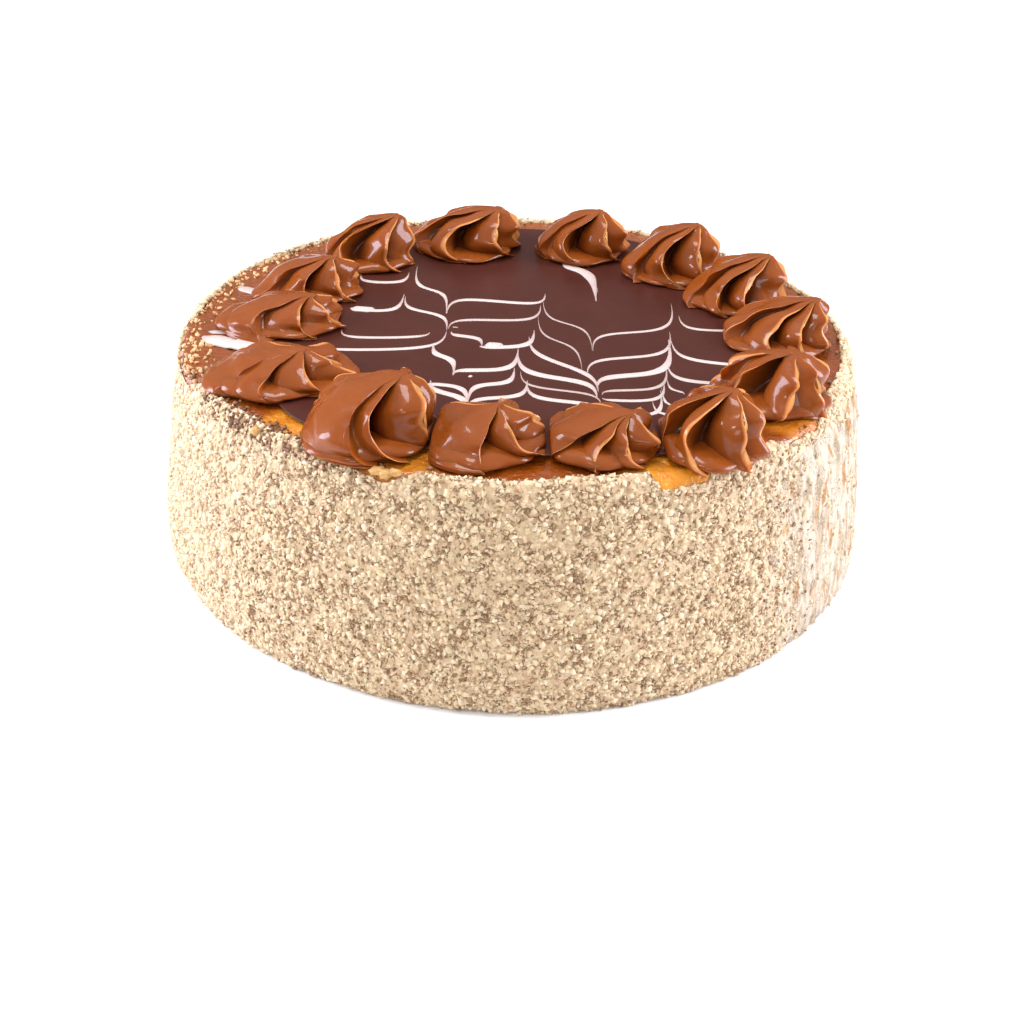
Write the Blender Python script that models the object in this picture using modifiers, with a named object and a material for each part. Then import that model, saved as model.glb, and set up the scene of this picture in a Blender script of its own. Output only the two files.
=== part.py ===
"""Dulce de leche mille-feuille cake.

A round, uncut cake of thin baked layers, solid inside. Its side is coated with chopped nuts and
crumbs that reach over the shoulder. A sheet of dulce de leche lies on top, a chocolate glaze lies
on that, and fourteen rosettes of dulce de leche are piped round the edge.
The origin is the centre of the base, +Z is up and the front of the cake faces -Y. Metres.
"""

import math
import random
from collections import namedtuple

import bmesh
import bpy
from mathutils import Matrix, Vector, noise

# Driving sizes of the cake
SIDE_RADIUS = 0.1105
SIDE_TOP_RADIUS = 0.1030
SIDE_TOP_HEIGHT = 0.0590
RIM_FLAT_RADIUS = 0.0975
RIM_HEIGHT = 0.0662
SHOULDER_SQUARENESS = 2.4
SHOULDER_FALL = 0.625
FIT_GAP = 0.0003

# The dulce de leche sheet lies in a shallow seat inside the crumb rim
SEAT_HEIGHT = 0.0600
CRUMB_EDGE_RADIUS = 0.0985
CRUMB_EDGE_LIMIT = 0.1014
CRUMB_EDGE_WAVER = 0.0006
CARAMEL_HEIGHT = 0.0655
CARAMEL_INNER_RADIUS = 0.0900
CARAMEL_EDGE_SINK = 0.0002

# The glaze lies on the sheet
GLAZE_RADIUS = 0.0945
GLAZE_WAVER = 0.0007
GLAZE_HEIGHT = 0.0665
GLAZE_EDGE_ROUND = 0.0015
GLAZE_STEPS = 72

# Relief of the crumb coat
STEPS_ROUND = 108
CLUMP_SIZE = 0.0050
CLUMP_DEPTH = 0.0011
SWELL_SIZE = 0.0300
SWELL_DEPTH = 0.0006
RIM_CLUMP_SHARE = 0.3
NUT_COUNT = 90
NUT_LONG = 0.0027
NUT_WIDE = 0.0020
NUT_FLAT = 0.0014
NUT_SINK = 0.0004
NUT_LOW = 0.0045
NUT_HIGH = 0.0610
GOLDEN_ANGLE = math.pi * (3.0 - math.sqrt(5.0))
SEED = 1127

# Rosettes
ROSETTE_BASE = GLAZE_HEIGHT + FIT_GAP
ROSETTE_GAP = 0.0004
ROSETTE_RINGS = 9
FACETS_PER_FOLD = 4
SOFT_CONTACT = 0.0015

# Heights of the side where its radius is set: height, inset from the widest radius
SIDE_LEVELS = (
    (0.0510, 0.0052),
    (0.0430, 0.0040),
    (0.0350, 0.0030),
    (0.0270, 0.0020),
    (0.0180, 0.0009),
    (0.0100, 0.0001),
    (0.0035, 0.0003),
    (0.0009, 0.0011),
)
FOOT_INSET = 0.0022

# Places where the crumbs leave dulce de leche bare: azimuth and half width in degrees, extra reach
BareSpot = namedtuple("BareSpot", "azimuth half_width reach")
BARE_SPOTS = (
    BareSpot(-64.4, 6.0, 0.0065),
    BareSpot(-112.0, 9.0, 0.0030),
    BareSpot(-40.0, 9.0, 0.0030),
    BareSpot(-166.0, 17.0, 0.0050),
)

# One piped rosette: where its base is centred, base radius and height, how far and which way its
# tip leans, its spiral in degrees, the depth of its folds as a share, how much longer it is along X,
# and the azimuths in degrees at which the crests of its folds end at the base
Rosette = namedtuple("Rosette", "x y radius height lean toward twist depth stretch crests")
ROSETTES = (
    Rosette(-0.0495, 0.0494, 0.0148, 0.0156, 0.0090, 15, 70, 0.46, 1.00, (182, 250, 292, 325, 0, 60, 120)),
    Rosette(-0.0172, 0.0655, 0.0175, 0.0140, 0.0095, 0, 60, 0.46, 1.05, (190, 262, 300, 332, 15, 75, 130)),
    Rosette(0.0217, 0.0641, 0.0156, 0.0148, 0.0050, 0, 75, 0.48, 1.00, (187, 225, 270, 318, 358, 60, 120)),
    Rosette(0.0520, 0.0474, 0.0162, 0.0166, 0.0065, 10, 75, 0.48, 1.00, (187, 222, 262, 292, 352, 45, 110)),
    Rosette(0.0712, 0.0235, 0.0160, 0.0155, 0.0080, 5, 65, 0.48, 1.00, (185, 215, 260, 345, 40, 110)),
    Rosette(0.0804, -0.0067, 0.0164, 0.0131, 0.0105, 5, 55, 0.46, 1.00, (178, 235, 265, 303, 350, 50, 115)),
    Rosette(0.0722, -0.0470, 0.0160, 0.0131, 0.0030, 0, 75, 0.50, 1.00, (165, 228, 300, 342, 40, 105)),
    Rosette(0.0514, -0.0768, 0.0154, 0.0149, 0.0042, 10, 35, 0.50, 1.00, (165, 243, 268, 312, 345, 40, 100)),
    Rosette(0.0241, -0.0782, 0.0160, 0.0091, 0.0060, 0, 50, 0.46, 1.03, (205, 240, 290, 350, 50, 120)),
    Rosette(-0.0072, -0.0794, 0.0165, 0.0101, 0.0045, 30, 60, 0.44, 1.03, (205, 265, 325, 10, 75, 140)),
    Rosette(-0.0364, -0.0760, 0.0180, 0.0153, 0.0075, 20, 80, 0.54, 1.02, (195, 285, 345, 25, 80, 135)),
    Rosette(-0.0645, -0.0440, 0.0172, 0.0087, 0.0060, 0, 35, 0.38, 1.25, (190, 235, 280, 320, 355, 60, 120)),
    Rosette(-0.0697, -0.0048, 0.0162, 0.0090, 0.0090, 0, 35, 0.38, 1.20, (195, 240, 300, 325, 10, 90)),
    Rosette(-0.0655, 0.0205, 0.0152, 0.0117, 0.0070, 0, 45, 0.42, 1.12, (190, 225, 258, 300, 335, 30, 100)),
)

# Form that every rosette shares
FOLD_SPAN = math.radians(60)
FOLD_BASE_DEPTH = 0.45
FOLD_CURL = 0.42
HOLLOW_RISE = 0.42
HOLLOW_FALL = 1.10
HOLLOW_SCALE = 2.35
BASE_TUCK = 0.16
TUCK_HEIGHT = 0.16
TIP_NARROWING = 0.35
DOME_ROUNDING = 0.9
DOME_RISE = 1.25
WIND_RISE = 1.3
CURL_RISE = 0.6
BASE_SHIFT = 0.25

# Colours: red, green and blue in linear light, then roughness
CRUMB_FINISH = ((0.680, 0.545, 0.355), 0.85)
CARAMEL_FINISH = ((0.420, 0.130, 0.030), 0.25)
AMBER_FINISH = ((0.600, 0.230, 0.040), 0.20)
CHOCOLATE_FINISH = ((0.105, 0.036, 0.024), 0.30)


def smooth_step(low, high, value):
    """Ease from 0 at low to 1 at high"""
    share = min(max((value - low) / (high - low), 0.0), 1.0)
    return share * share * (3.0 - 2.0 * share)


def plain_material(name, finish):
    """A Principled material with one colour and one roughness"""
    colour, roughness = finish
    material = bpy.data.materials.new(name)
    material.use_nodes = True
    shader = material.node_tree.nodes["Principled BSDF"]
    shader.inputs["Base Color"].default_value = (*colour, 1.0)
    shader.inputs["Roughness"].default_value = roughness
    shader.inputs["Metallic"].default_value = 0.0
    return material


def add_object(name, mesh, material, collection):
    """Link a mesh to a collection under its own name"""
    piece = bpy.data.objects.new(name, mesh)
    mesh.name = name
    mesh.materials.clear()
    mesh.materials.append(material)
    collection.objects.link(piece)
    return piece


def turned_mesh(profile, steps):
    """Turn a profile of (radius, height) points about Z, listed from the top axis point down"""
    outline = bpy.data.meshes.new("profile")
    points = [(radius, 0.0, height) for radius, height in profile]
    outline.from_pydata(points, [(i, i + 1) for i in range(len(points) - 1)], [])
    holder = bpy.data.objects.new("profile", outline)
    bpy.context.scene.collection.objects.link(holder)
    screw = holder.modifiers.new("turn", "SCREW")
    screw.steps = steps
    screw.render_steps = steps
    screw.use_merge_vertices = True
    screw.merge_threshold = 0.00002
    screw.use_smooth_shade = True
    graph = bpy.context.evaluated_depsgraph_get()
    mesh = bpy.data.meshes.new_from_object(holder.evaluated_get(graph))
    bpy.data.objects.remove(holder)
    return mesh


def shoulder_height(radius):
    """Height of the cake's rounded shoulder at a radius"""
    share = (radius - RIM_FLAT_RADIUS) / (SIDE_TOP_RADIUS - RIM_FLAT_RADIUS)
    share = min(max(share, 0.0), 1.0)
    return SIDE_TOP_HEIGHT + (RIM_HEIGHT - SIDE_TOP_HEIGHT) * (
        1.0 - share ** SHOULDER_SQUARENESS
    ) ** SHOULDER_FALL


def crumb_edge(azimuth):
    """Inner radius of the crumb coat on top, further out where dulce de leche shows bare"""
    radius = CRUMB_EDGE_RADIUS
    for spot in BARE_SPOTS:
        away = math.degrees(azimuth) - spot.azimuth
        away = (away + 180.0) % 360.0 - 180.0
        radius += spot.reach * (1.0 - smooth_step(0.4, 1.0, abs(away) / spot.half_width))
    radius += CRUMB_EDGE_WAVER * (math.sin(7.0 * azimuth + 0.8) + 0.7 * math.sin(19.0 * azimuth))
    return min(radius, CRUMB_EDGE_LIMIT)


def crumb_relief(point):
    """How far a clump of crumbs stands out at a point of the coat"""
    place = Vector(point)
    clump = noise.noise(place / CLUMP_SIZE) * CLUMP_DEPTH
    swell = noise.noise(place / SWELL_SIZE) * SWELL_DEPTH
    return clump + swell


def cake_drum_mesh():
    """The solid cake with its seat for the top sheet and the clumps of its crumb coat"""
    rim_shares = (0.0, 0.35, 0.70)
    profile = [(0.0, SEAT_HEIGHT), (CRUMB_EDGE_RADIUS, SEAT_HEIGHT)]
    for share in rim_shares:
        radius = CRUMB_EDGE_RADIUS + share * (SIDE_TOP_RADIUS - CRUMB_EDGE_RADIUS)
        profile.append((radius, shoulder_height(radius)))
    profile.append((SIDE_TOP_RADIUS, SIDE_TOP_HEIGHT))
    profile += [(SIDE_RADIUS - inset, height) for height, inset in SIDE_LEVELS]
    profile += [(SIDE_RADIUS - FOOT_INSET, 0.0), (0.0, 0.0)]
    mesh = turned_mesh(profile, STEPS_ROUND)
    rim_width = SIDE_TOP_RADIUS - CRUMB_EDGE_RADIUS
    for vertex in mesh.vertices:
        x, y, z = vertex.co
        radius = math.hypot(x, y)
        if radius < CRUMB_EDGE_RADIUS - 0.001 or z < 0.0005:
            continue
        azimuth = math.atan2(y, x)
        edge = crumb_edge(azimuth)
        if z >= SEAT_HEIGHT - 0.0001:
            share = (radius - CRUMB_EDGE_RADIUS) / rim_width
            radius = edge + share * (SIDE_TOP_RADIUS - edge)
            if z > SEAT_HEIGHT + 0.0001:
                lift = max(min(crumb_relief(vertex.co) * RIM_CLUMP_SHARE, 0.0002), -0.0004)
                z = max(shoulder_height(radius) + lift, SEAT_HEIGHT + 0.0004)
        else:
            radius += crumb_relief(vertex.co)
        vertex.co = (radius * math.cos(azimuth), radius * math.sin(azimuth), z)
    return mesh


def side_radius(height):
    """Radius of the crumb coat at a height of the side"""
    levels = [(SIDE_TOP_HEIGHT, SIDE_RADIUS - SIDE_TOP_RADIUS)] + list(SIDE_LEVELS)
    for (upper, upper_inset), (lower, lower_inset) in zip(levels, levels[1:]):
        if height >= lower:
            share = min((height - lower) / (upper - lower), 1.0)
            return SIDE_RADIUS - lower_inset - share * (upper_inset - lower_inset)
    return SIDE_RADIUS - FOOT_INSET


def nut_mesh(draw, number):
    """One chopped piece of nut, half sunk in the coat at its place in a spiral round the side"""
    height = NUT_LOW + (NUT_HIGH - NUT_LOW) * (number + 0.5) / NUT_COUNT
    height += draw.uniform(-0.0015, 0.0015)
    height = min(max(height, NUT_LOW), NUT_HIGH)
    azimuth = number * GOLDEN_ANGLE + draw.uniform(-0.04, 0.04)
    radius = side_radius(height) - NUT_SINK
    size = draw.uniform(0.75, 1.15)
    shaping = bmesh.new()
    bmesh.ops.create_icosphere(shaping, subdivisions=1, radius=1.0)
    for vertex in shaping.verts:
        vertex.co *= draw.uniform(0.88, 1.12)
    spin = Matrix.Rotation(draw.uniform(0.0, math.tau), 4, "X")
    tip = Matrix.Rotation(draw.uniform(-0.3, 0.3), 4, "Y")
    stretch = Matrix.Diagonal((NUT_FLAT * size, NUT_LONG * size, NUT_WIDE * size, 1.0))
    place = Matrix.Translation((radius, 0.0, height))
    turn = Matrix.Rotation(azimuth, 4, "Z")
    shaping.transform(turn @ place @ tip @ spin @ stretch)
    mesh = bpy.data.meshes.new("nut")
    shaping.to_mesh(mesh)
    shaping.free()
    return mesh


def cake_body(collection):
    """The cake with its larger pieces of nut fused to the coat by one union"""
    body = add_object(
        "cake_body", cake_drum_mesh(), plain_material("crumb_coat", CRUMB_FINISH), collection
    )
    draw = random.Random(SEED)
    nuts = bpy.data.collections.new("nut_pieces")
    bpy.context.scene.collection.children.link(nuts)
    for number in range(NUT_COUNT):
        nut = bpy.data.objects.new(f"nut_{number:03d}", nut_mesh(draw, number))
        nuts.objects.link(nut)
    union = body.modifiers.new("fuse_nuts", "BOOLEAN")
    union.operation = "UNION"
    union.solver = "EXACT"
    union.operand_type = "COLLECTION"
    union.collection = nuts
    graph = bpy.context.evaluated_depsgraph_get()
    fused = bpy.data.meshes.new_from_object(body.evaluated_get(graph))
    body.modifiers.remove(union)
    body.data = fused
    fused.name = "cake_body"
    for nut in list(nuts.objects):
        bpy.data.objects.remove(nut)
    bpy.data.collections.remove(nuts)
    return body


def caramel_top(collection):
    """The sheet of dulce de leche, which runs out over the shoulder at the bare spots"""
    edge = CRUMB_EDGE_RADIUS
    ring_radii = (CARAMEL_INNER_RADIUS, 0.5 * (CARAMEL_INNER_RADIUS + edge), edge)
    profile = [(0.0, CARAMEL_HEIGHT)] + [(radius, CARAMEL_HEIGHT) for radius in ring_radii]
    profile += [(edge, SEAT_HEIGHT + FIT_GAP), (0.0, SEAT_HEIGHT + FIT_GAP)]
    mesh = turned_mesh(profile, STEPS_ROUND)
    for vertex in mesh.vertices:
        x, y, z = vertex.co
        radius = math.hypot(x, y)
        if radius < CARAMEL_INNER_RADIUS + 0.0001:
            continue
        azimuth = math.atan2(y, x)
        share = (radius - CARAMEL_INNER_RADIUS) / (edge - CARAMEL_INNER_RADIUS)
        reach = crumb_edge(azimuth) - FIT_GAP
        radius = CARAMEL_INNER_RADIUS + share * (reach - CARAMEL_INNER_RADIUS)
        if z > SEAT_HEIGHT + 0.001:
            z = min(CARAMEL_HEIGHT, shoulder_height(radius) - CARAMEL_EDGE_SINK)
            z = max(z, SEAT_HEIGHT + FIT_GAP + 0.0006)
        vertex.co = (radius * math.cos(azimuth), radius * math.sin(azimuth), z)
    return add_object(
        "caramel_top", mesh, plain_material("amber_caramel", AMBER_FINISH), collection
    )


def chocolate_glaze(collection):
    """The thin disc of chocolate glaze with its rounded, slightly wavering edge"""
    underside = CARAMEL_HEIGHT + FIT_GAP
    profile = [
        (0.0, GLAZE_HEIGHT),
        (GLAZE_RADIUS - GLAZE_EDGE_ROUND, GLAZE_HEIGHT),
        (GLAZE_RADIUS, 0.5 * (GLAZE_HEIGHT + underside)),
        (GLAZE_RADIUS - 0.0003, underside),
        (0.0, underside),
    ]
    mesh = turned_mesh(profile, GLAZE_STEPS)
    for vertex in mesh.vertices:
        azimuth = math.atan2(vertex.co.y, vertex.co.x)
        waver = GLAZE_WAVER * math.sin(5.0 * azimuth + 1.1) * math.sin(11.0 * azimuth)
        factor = 1.0 + waver / GLAZE_RADIUS
        vertex.co.x *= factor
        vertex.co.y *= factor
    return add_object(
        "chocolate_glaze", mesh, plain_material("chocolate", CHOCOLATE_FINISH), collection
    )


def fold_starts(rosette):
    """Crest azimuths in radians, rising all the way round, with the first one again at the end"""
    starts = []
    for azimuth in rosette.crests:
        azimuth = math.radians(azimuth)
        while starts and azimuth < starts[-1]:
            azimuth += math.tau
        starts.append(azimuth)
    return starts + [starts[0] + math.tau]


def piped_point(rosette, fold, share, climb):
    """Point of a rosette's skin: share runs from one crest to the next, climb from base to tip.

    Past each crest the skin drops into a hollow and swells slowly up to the next crest. The crests
    curl forward over their hollows and wind round the rosette as they climb to the leaning tip.
    """
    starts = fold_starts(rosette)
    span = starts[fold + 1] - starts[fold]
    hollow = share ** HOLLOW_RISE * (1.0 - share) ** HOLLOW_FALL * HOLLOW_SCALE
    side = climb * math.pi / 2.0
    rim = math.cos(side) ** DOME_ROUNDING * (1.0 - TIP_NARROWING * smooth_step(0.55, 0.95, climb))
    rise = math.sin(side) ** DOME_RISE
    tuck = BASE_TUCK * (1.0 - smooth_step(0.0, TUCK_HEIGHT, climb))
    depth = rosette.depth * min(span / FOLD_SPAN, 1.15)
    depth *= FOLD_BASE_DEPTH + (1.0 - FOLD_BASE_DEPTH) * smooth_step(0.0, 0.45, climb)
    radius = rosette.radius * rim * (1.0 - tuck) * (1.0 - depth * hollow)
    curl = FOLD_CURL * span * (1.0 - hollow) * math.sin(math.pi * climb) ** CURL_RISE
    wind = math.radians(rosette.twist) * climb ** WIND_RISE
    azimuth = starts[fold] + share * span + curl - wind
    drift = rosette.lean * (rise * rise - BASE_SHIFT)
    toward = math.radians(rosette.toward)
    x = rosette.x + radius * math.cos(azimuth) * rosette.stretch + drift * math.cos(toward)
    y = rosette.y + radius * math.sin(azimuth) + drift * math.sin(toward)
    return Vector((x, y, ROSETTE_BASE + rosette.height * rise))


def pressed_apart(point, number):
    """Move a point back behind the planes where the rosette presses on its two neighbours"""
    rosette = ROSETTES[number]
    centre = Vector((rosette.x, rosette.y, 0.0))
    for neighbour in (ROSETTES[number - 1], ROSETTES[(number + 1) % len(ROSETTES)]):
        way = Vector((neighbour.x, neighbour.y, 0.0)) - centre
        distance = way.length
        way.normalize()
        limit = distance * rosette.radius / (rosette.radius + neighbour.radius)
        start = limit - ROSETTE_GAP / 2.0 - SOFT_CONTACT
        along = (point - centre).dot(way)
        if along > start:
            pressed = SOFT_CONTACT * (1.0 - math.exp((start - along) / SOFT_CONTACT))
            point = point + way * (start + pressed - along)
    return point


def rosette_mesh(number):
    """A sphere primitive remapped to the piped form, with a row of points on every crest"""
    rosette = ROSETTES[number]
    segments = FACETS_PER_FOLD * len(rosette.crests)
    shaping = bmesh.new()
    bmesh.ops.create_uvsphere(
        shaping, u_segments=segments, v_segments=ROSETTE_RINGS, radius=1.0
    )
    for vertex in shaping.verts:
        level = round((math.asin(max(min(vertex.co.z, 1.0), -1.0)) / math.pi + 0.5) * ROSETTE_RINGS)
        segment = round(math.atan2(vertex.co.y, vertex.co.x) / math.tau * segments) % segments
        fold, step = divmod(segment, FACETS_PER_FOLD)
        climb = max(level - 1, 0) / (ROSETTE_RINGS - 1)
        if level == 0:
            vertex.co = (rosette.x, rosette.y, ROSETTE_BASE)
        else:
            point = piped_point(rosette, fold, step / FACETS_PER_FOLD, climb)
            vertex.co = pressed_apart(point, number)
    mesh = bpy.data.meshes.new(f"rosette_{number + 1:02d}")
    shaping.to_mesh(mesh)
    shaping.free()
    mesh.shade_smooth()
    return mesh


def build_cake():
    """Clear the scene and build every piece in a collection named for the object"""
    for old in list(bpy.data.objects):
        bpy.data.objects.remove(old)
    collection = bpy.data.collections.new("dulce_de_leche_cake")
    bpy.context.scene.collection.children.link(collection)
    cake_body(collection)
    caramel_top(collection)
    chocolate_glaze(collection)
    for number in range(len(ROSETTES)):
        name = f"rosette_{number + 1:02d}"
        material = plain_material(f"caramel_{number + 1:02d}", CARAMEL_FINISH)
        add_object(name, rosette_mesh(number), material, collection)


build_cake()
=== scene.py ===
"""Looks of the dulce de leche mille-feuille cake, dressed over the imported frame.

The side is a coat of ground nuts and pastry crumbs, with real crumbs scattered over its relief.
Fourteen glossy rosettes are piped round a chocolate glaze that is feathered with white icing.
The frame's units are metres, +Z is up and the front of the cake faces -Y.
"""

import math
from collections import namedtuple

import bmesh
import bpy
import numpy as np
from mathutils import Matrix, Vector, noise


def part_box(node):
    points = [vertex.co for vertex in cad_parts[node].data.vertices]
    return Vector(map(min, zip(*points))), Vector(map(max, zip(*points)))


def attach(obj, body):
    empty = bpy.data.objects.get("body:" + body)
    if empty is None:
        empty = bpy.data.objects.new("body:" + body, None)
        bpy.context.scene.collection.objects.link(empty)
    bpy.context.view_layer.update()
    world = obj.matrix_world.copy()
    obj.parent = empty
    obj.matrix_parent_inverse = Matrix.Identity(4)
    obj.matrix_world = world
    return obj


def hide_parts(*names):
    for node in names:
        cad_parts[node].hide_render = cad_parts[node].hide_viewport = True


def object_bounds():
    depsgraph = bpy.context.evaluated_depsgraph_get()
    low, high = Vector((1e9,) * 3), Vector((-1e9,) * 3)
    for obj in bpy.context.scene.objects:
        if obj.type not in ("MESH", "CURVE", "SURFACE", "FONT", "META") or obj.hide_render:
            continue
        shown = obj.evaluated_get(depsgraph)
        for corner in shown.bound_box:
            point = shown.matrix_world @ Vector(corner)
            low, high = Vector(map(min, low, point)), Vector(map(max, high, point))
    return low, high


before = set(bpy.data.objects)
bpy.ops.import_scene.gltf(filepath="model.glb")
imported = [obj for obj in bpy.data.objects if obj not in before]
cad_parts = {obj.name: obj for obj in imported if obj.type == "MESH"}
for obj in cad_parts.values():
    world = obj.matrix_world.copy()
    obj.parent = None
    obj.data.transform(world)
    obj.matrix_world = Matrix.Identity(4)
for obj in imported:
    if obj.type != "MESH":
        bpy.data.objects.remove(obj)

CAD_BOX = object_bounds()
MM = 0.001

# Heights that the frame gives
CARAMEL_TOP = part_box("caramel_top")[1].z
CARAMEL_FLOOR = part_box("caramel_top")[0].z
GLAZE_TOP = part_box("chocolate_glaze")[1].z
GLAZE_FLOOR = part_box("chocolate_glaze")[0].z
FIT_GAP = 0.3 * MM
ROSETTE_BASE = GLAZE_TOP + FIT_GAP
SEAT_HEIGHT = CARAMEL_FLOOR - FIT_GAP
REACH_LIMIT = min(CAD_BOX[1].x, CAD_BOX[1].y, -CAD_BOX[0].x, -CAD_BOX[0].y) - 0.1 * MM

# Driving sizes of the cake, the same as in the solids
SIDE_RADIUS = 110.5 * MM
SIDE_TOP_RADIUS = 103.0 * MM
SIDE_TOP_HEIGHT = 59.0 * MM
RIM_FLAT_RADIUS = 97.5 * MM
RIM_LEVEL = 66.2 * MM
SHOULDER_SQUARENESS = 2.4
SHOULDER_FALL = 0.625
CRUMB_EDGE_RADIUS = 98.5 * MM
CRUMB_EDGE_LIMIT = 102.4 * MM
CRUMB_EDGE_WAVER = 0.6 * MM
GLAZE_RADIUS = 87.0 * MM
GLAZE_WAVER = 0.7 * MM
# The side from its top edge down: height, and how far it stands in from the widest radius
SIDE_LEVELS = (
    (0.0510, 0.0052),
    (0.0430, 0.0040),
    (0.0350, 0.0030),
    (0.0270, 0.0020),
    (0.0180, 0.0009),
    (0.0100, 0.0001),
    (0.0035, 0.0003),
    (0.0009, 0.0013),
)

# Places where the crumbs leave dulce de leche bare: azimuth and half width in degrees, extra reach
BareSpot = namedtuple("BareSpot", "azimuth half_width reach")
BARE_SPOTS = (
    BareSpot(-64.4, 6.5, 6.5 * MM),
    BareSpot(-112.0, 9.0, 3.0 * MM),
    BareSpot(-40.0, 9.0, 3.0 * MM),
    BareSpot(-166.0, 17.0, 6.5 * MM),
)

# Where the glaze runs further out or stops short: azimuth and half width in degrees, extra reach
GLAZE_RUNS = (
    BareSpot(-59.0, 14.0, 5.5 * MM),
    BareSpot(-132.0, 12.0, 4.0 * MM),
    BareSpot(178.0, 55.0, -8.0 * MM),
)

# Where the dulce de leche lies thin enough to glow amber: azimuth and half width in degrees, depth
AMBER_SPOTS = (
    BareSpot(-64.0, 13.0, 1.0),
    BareSpot(-128.0, 10.0, 0.9),
    BareSpot(-108.0, 9.0, 0.5),
    BareSpot(-38.0, 8.0, 0.5),
)

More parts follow.
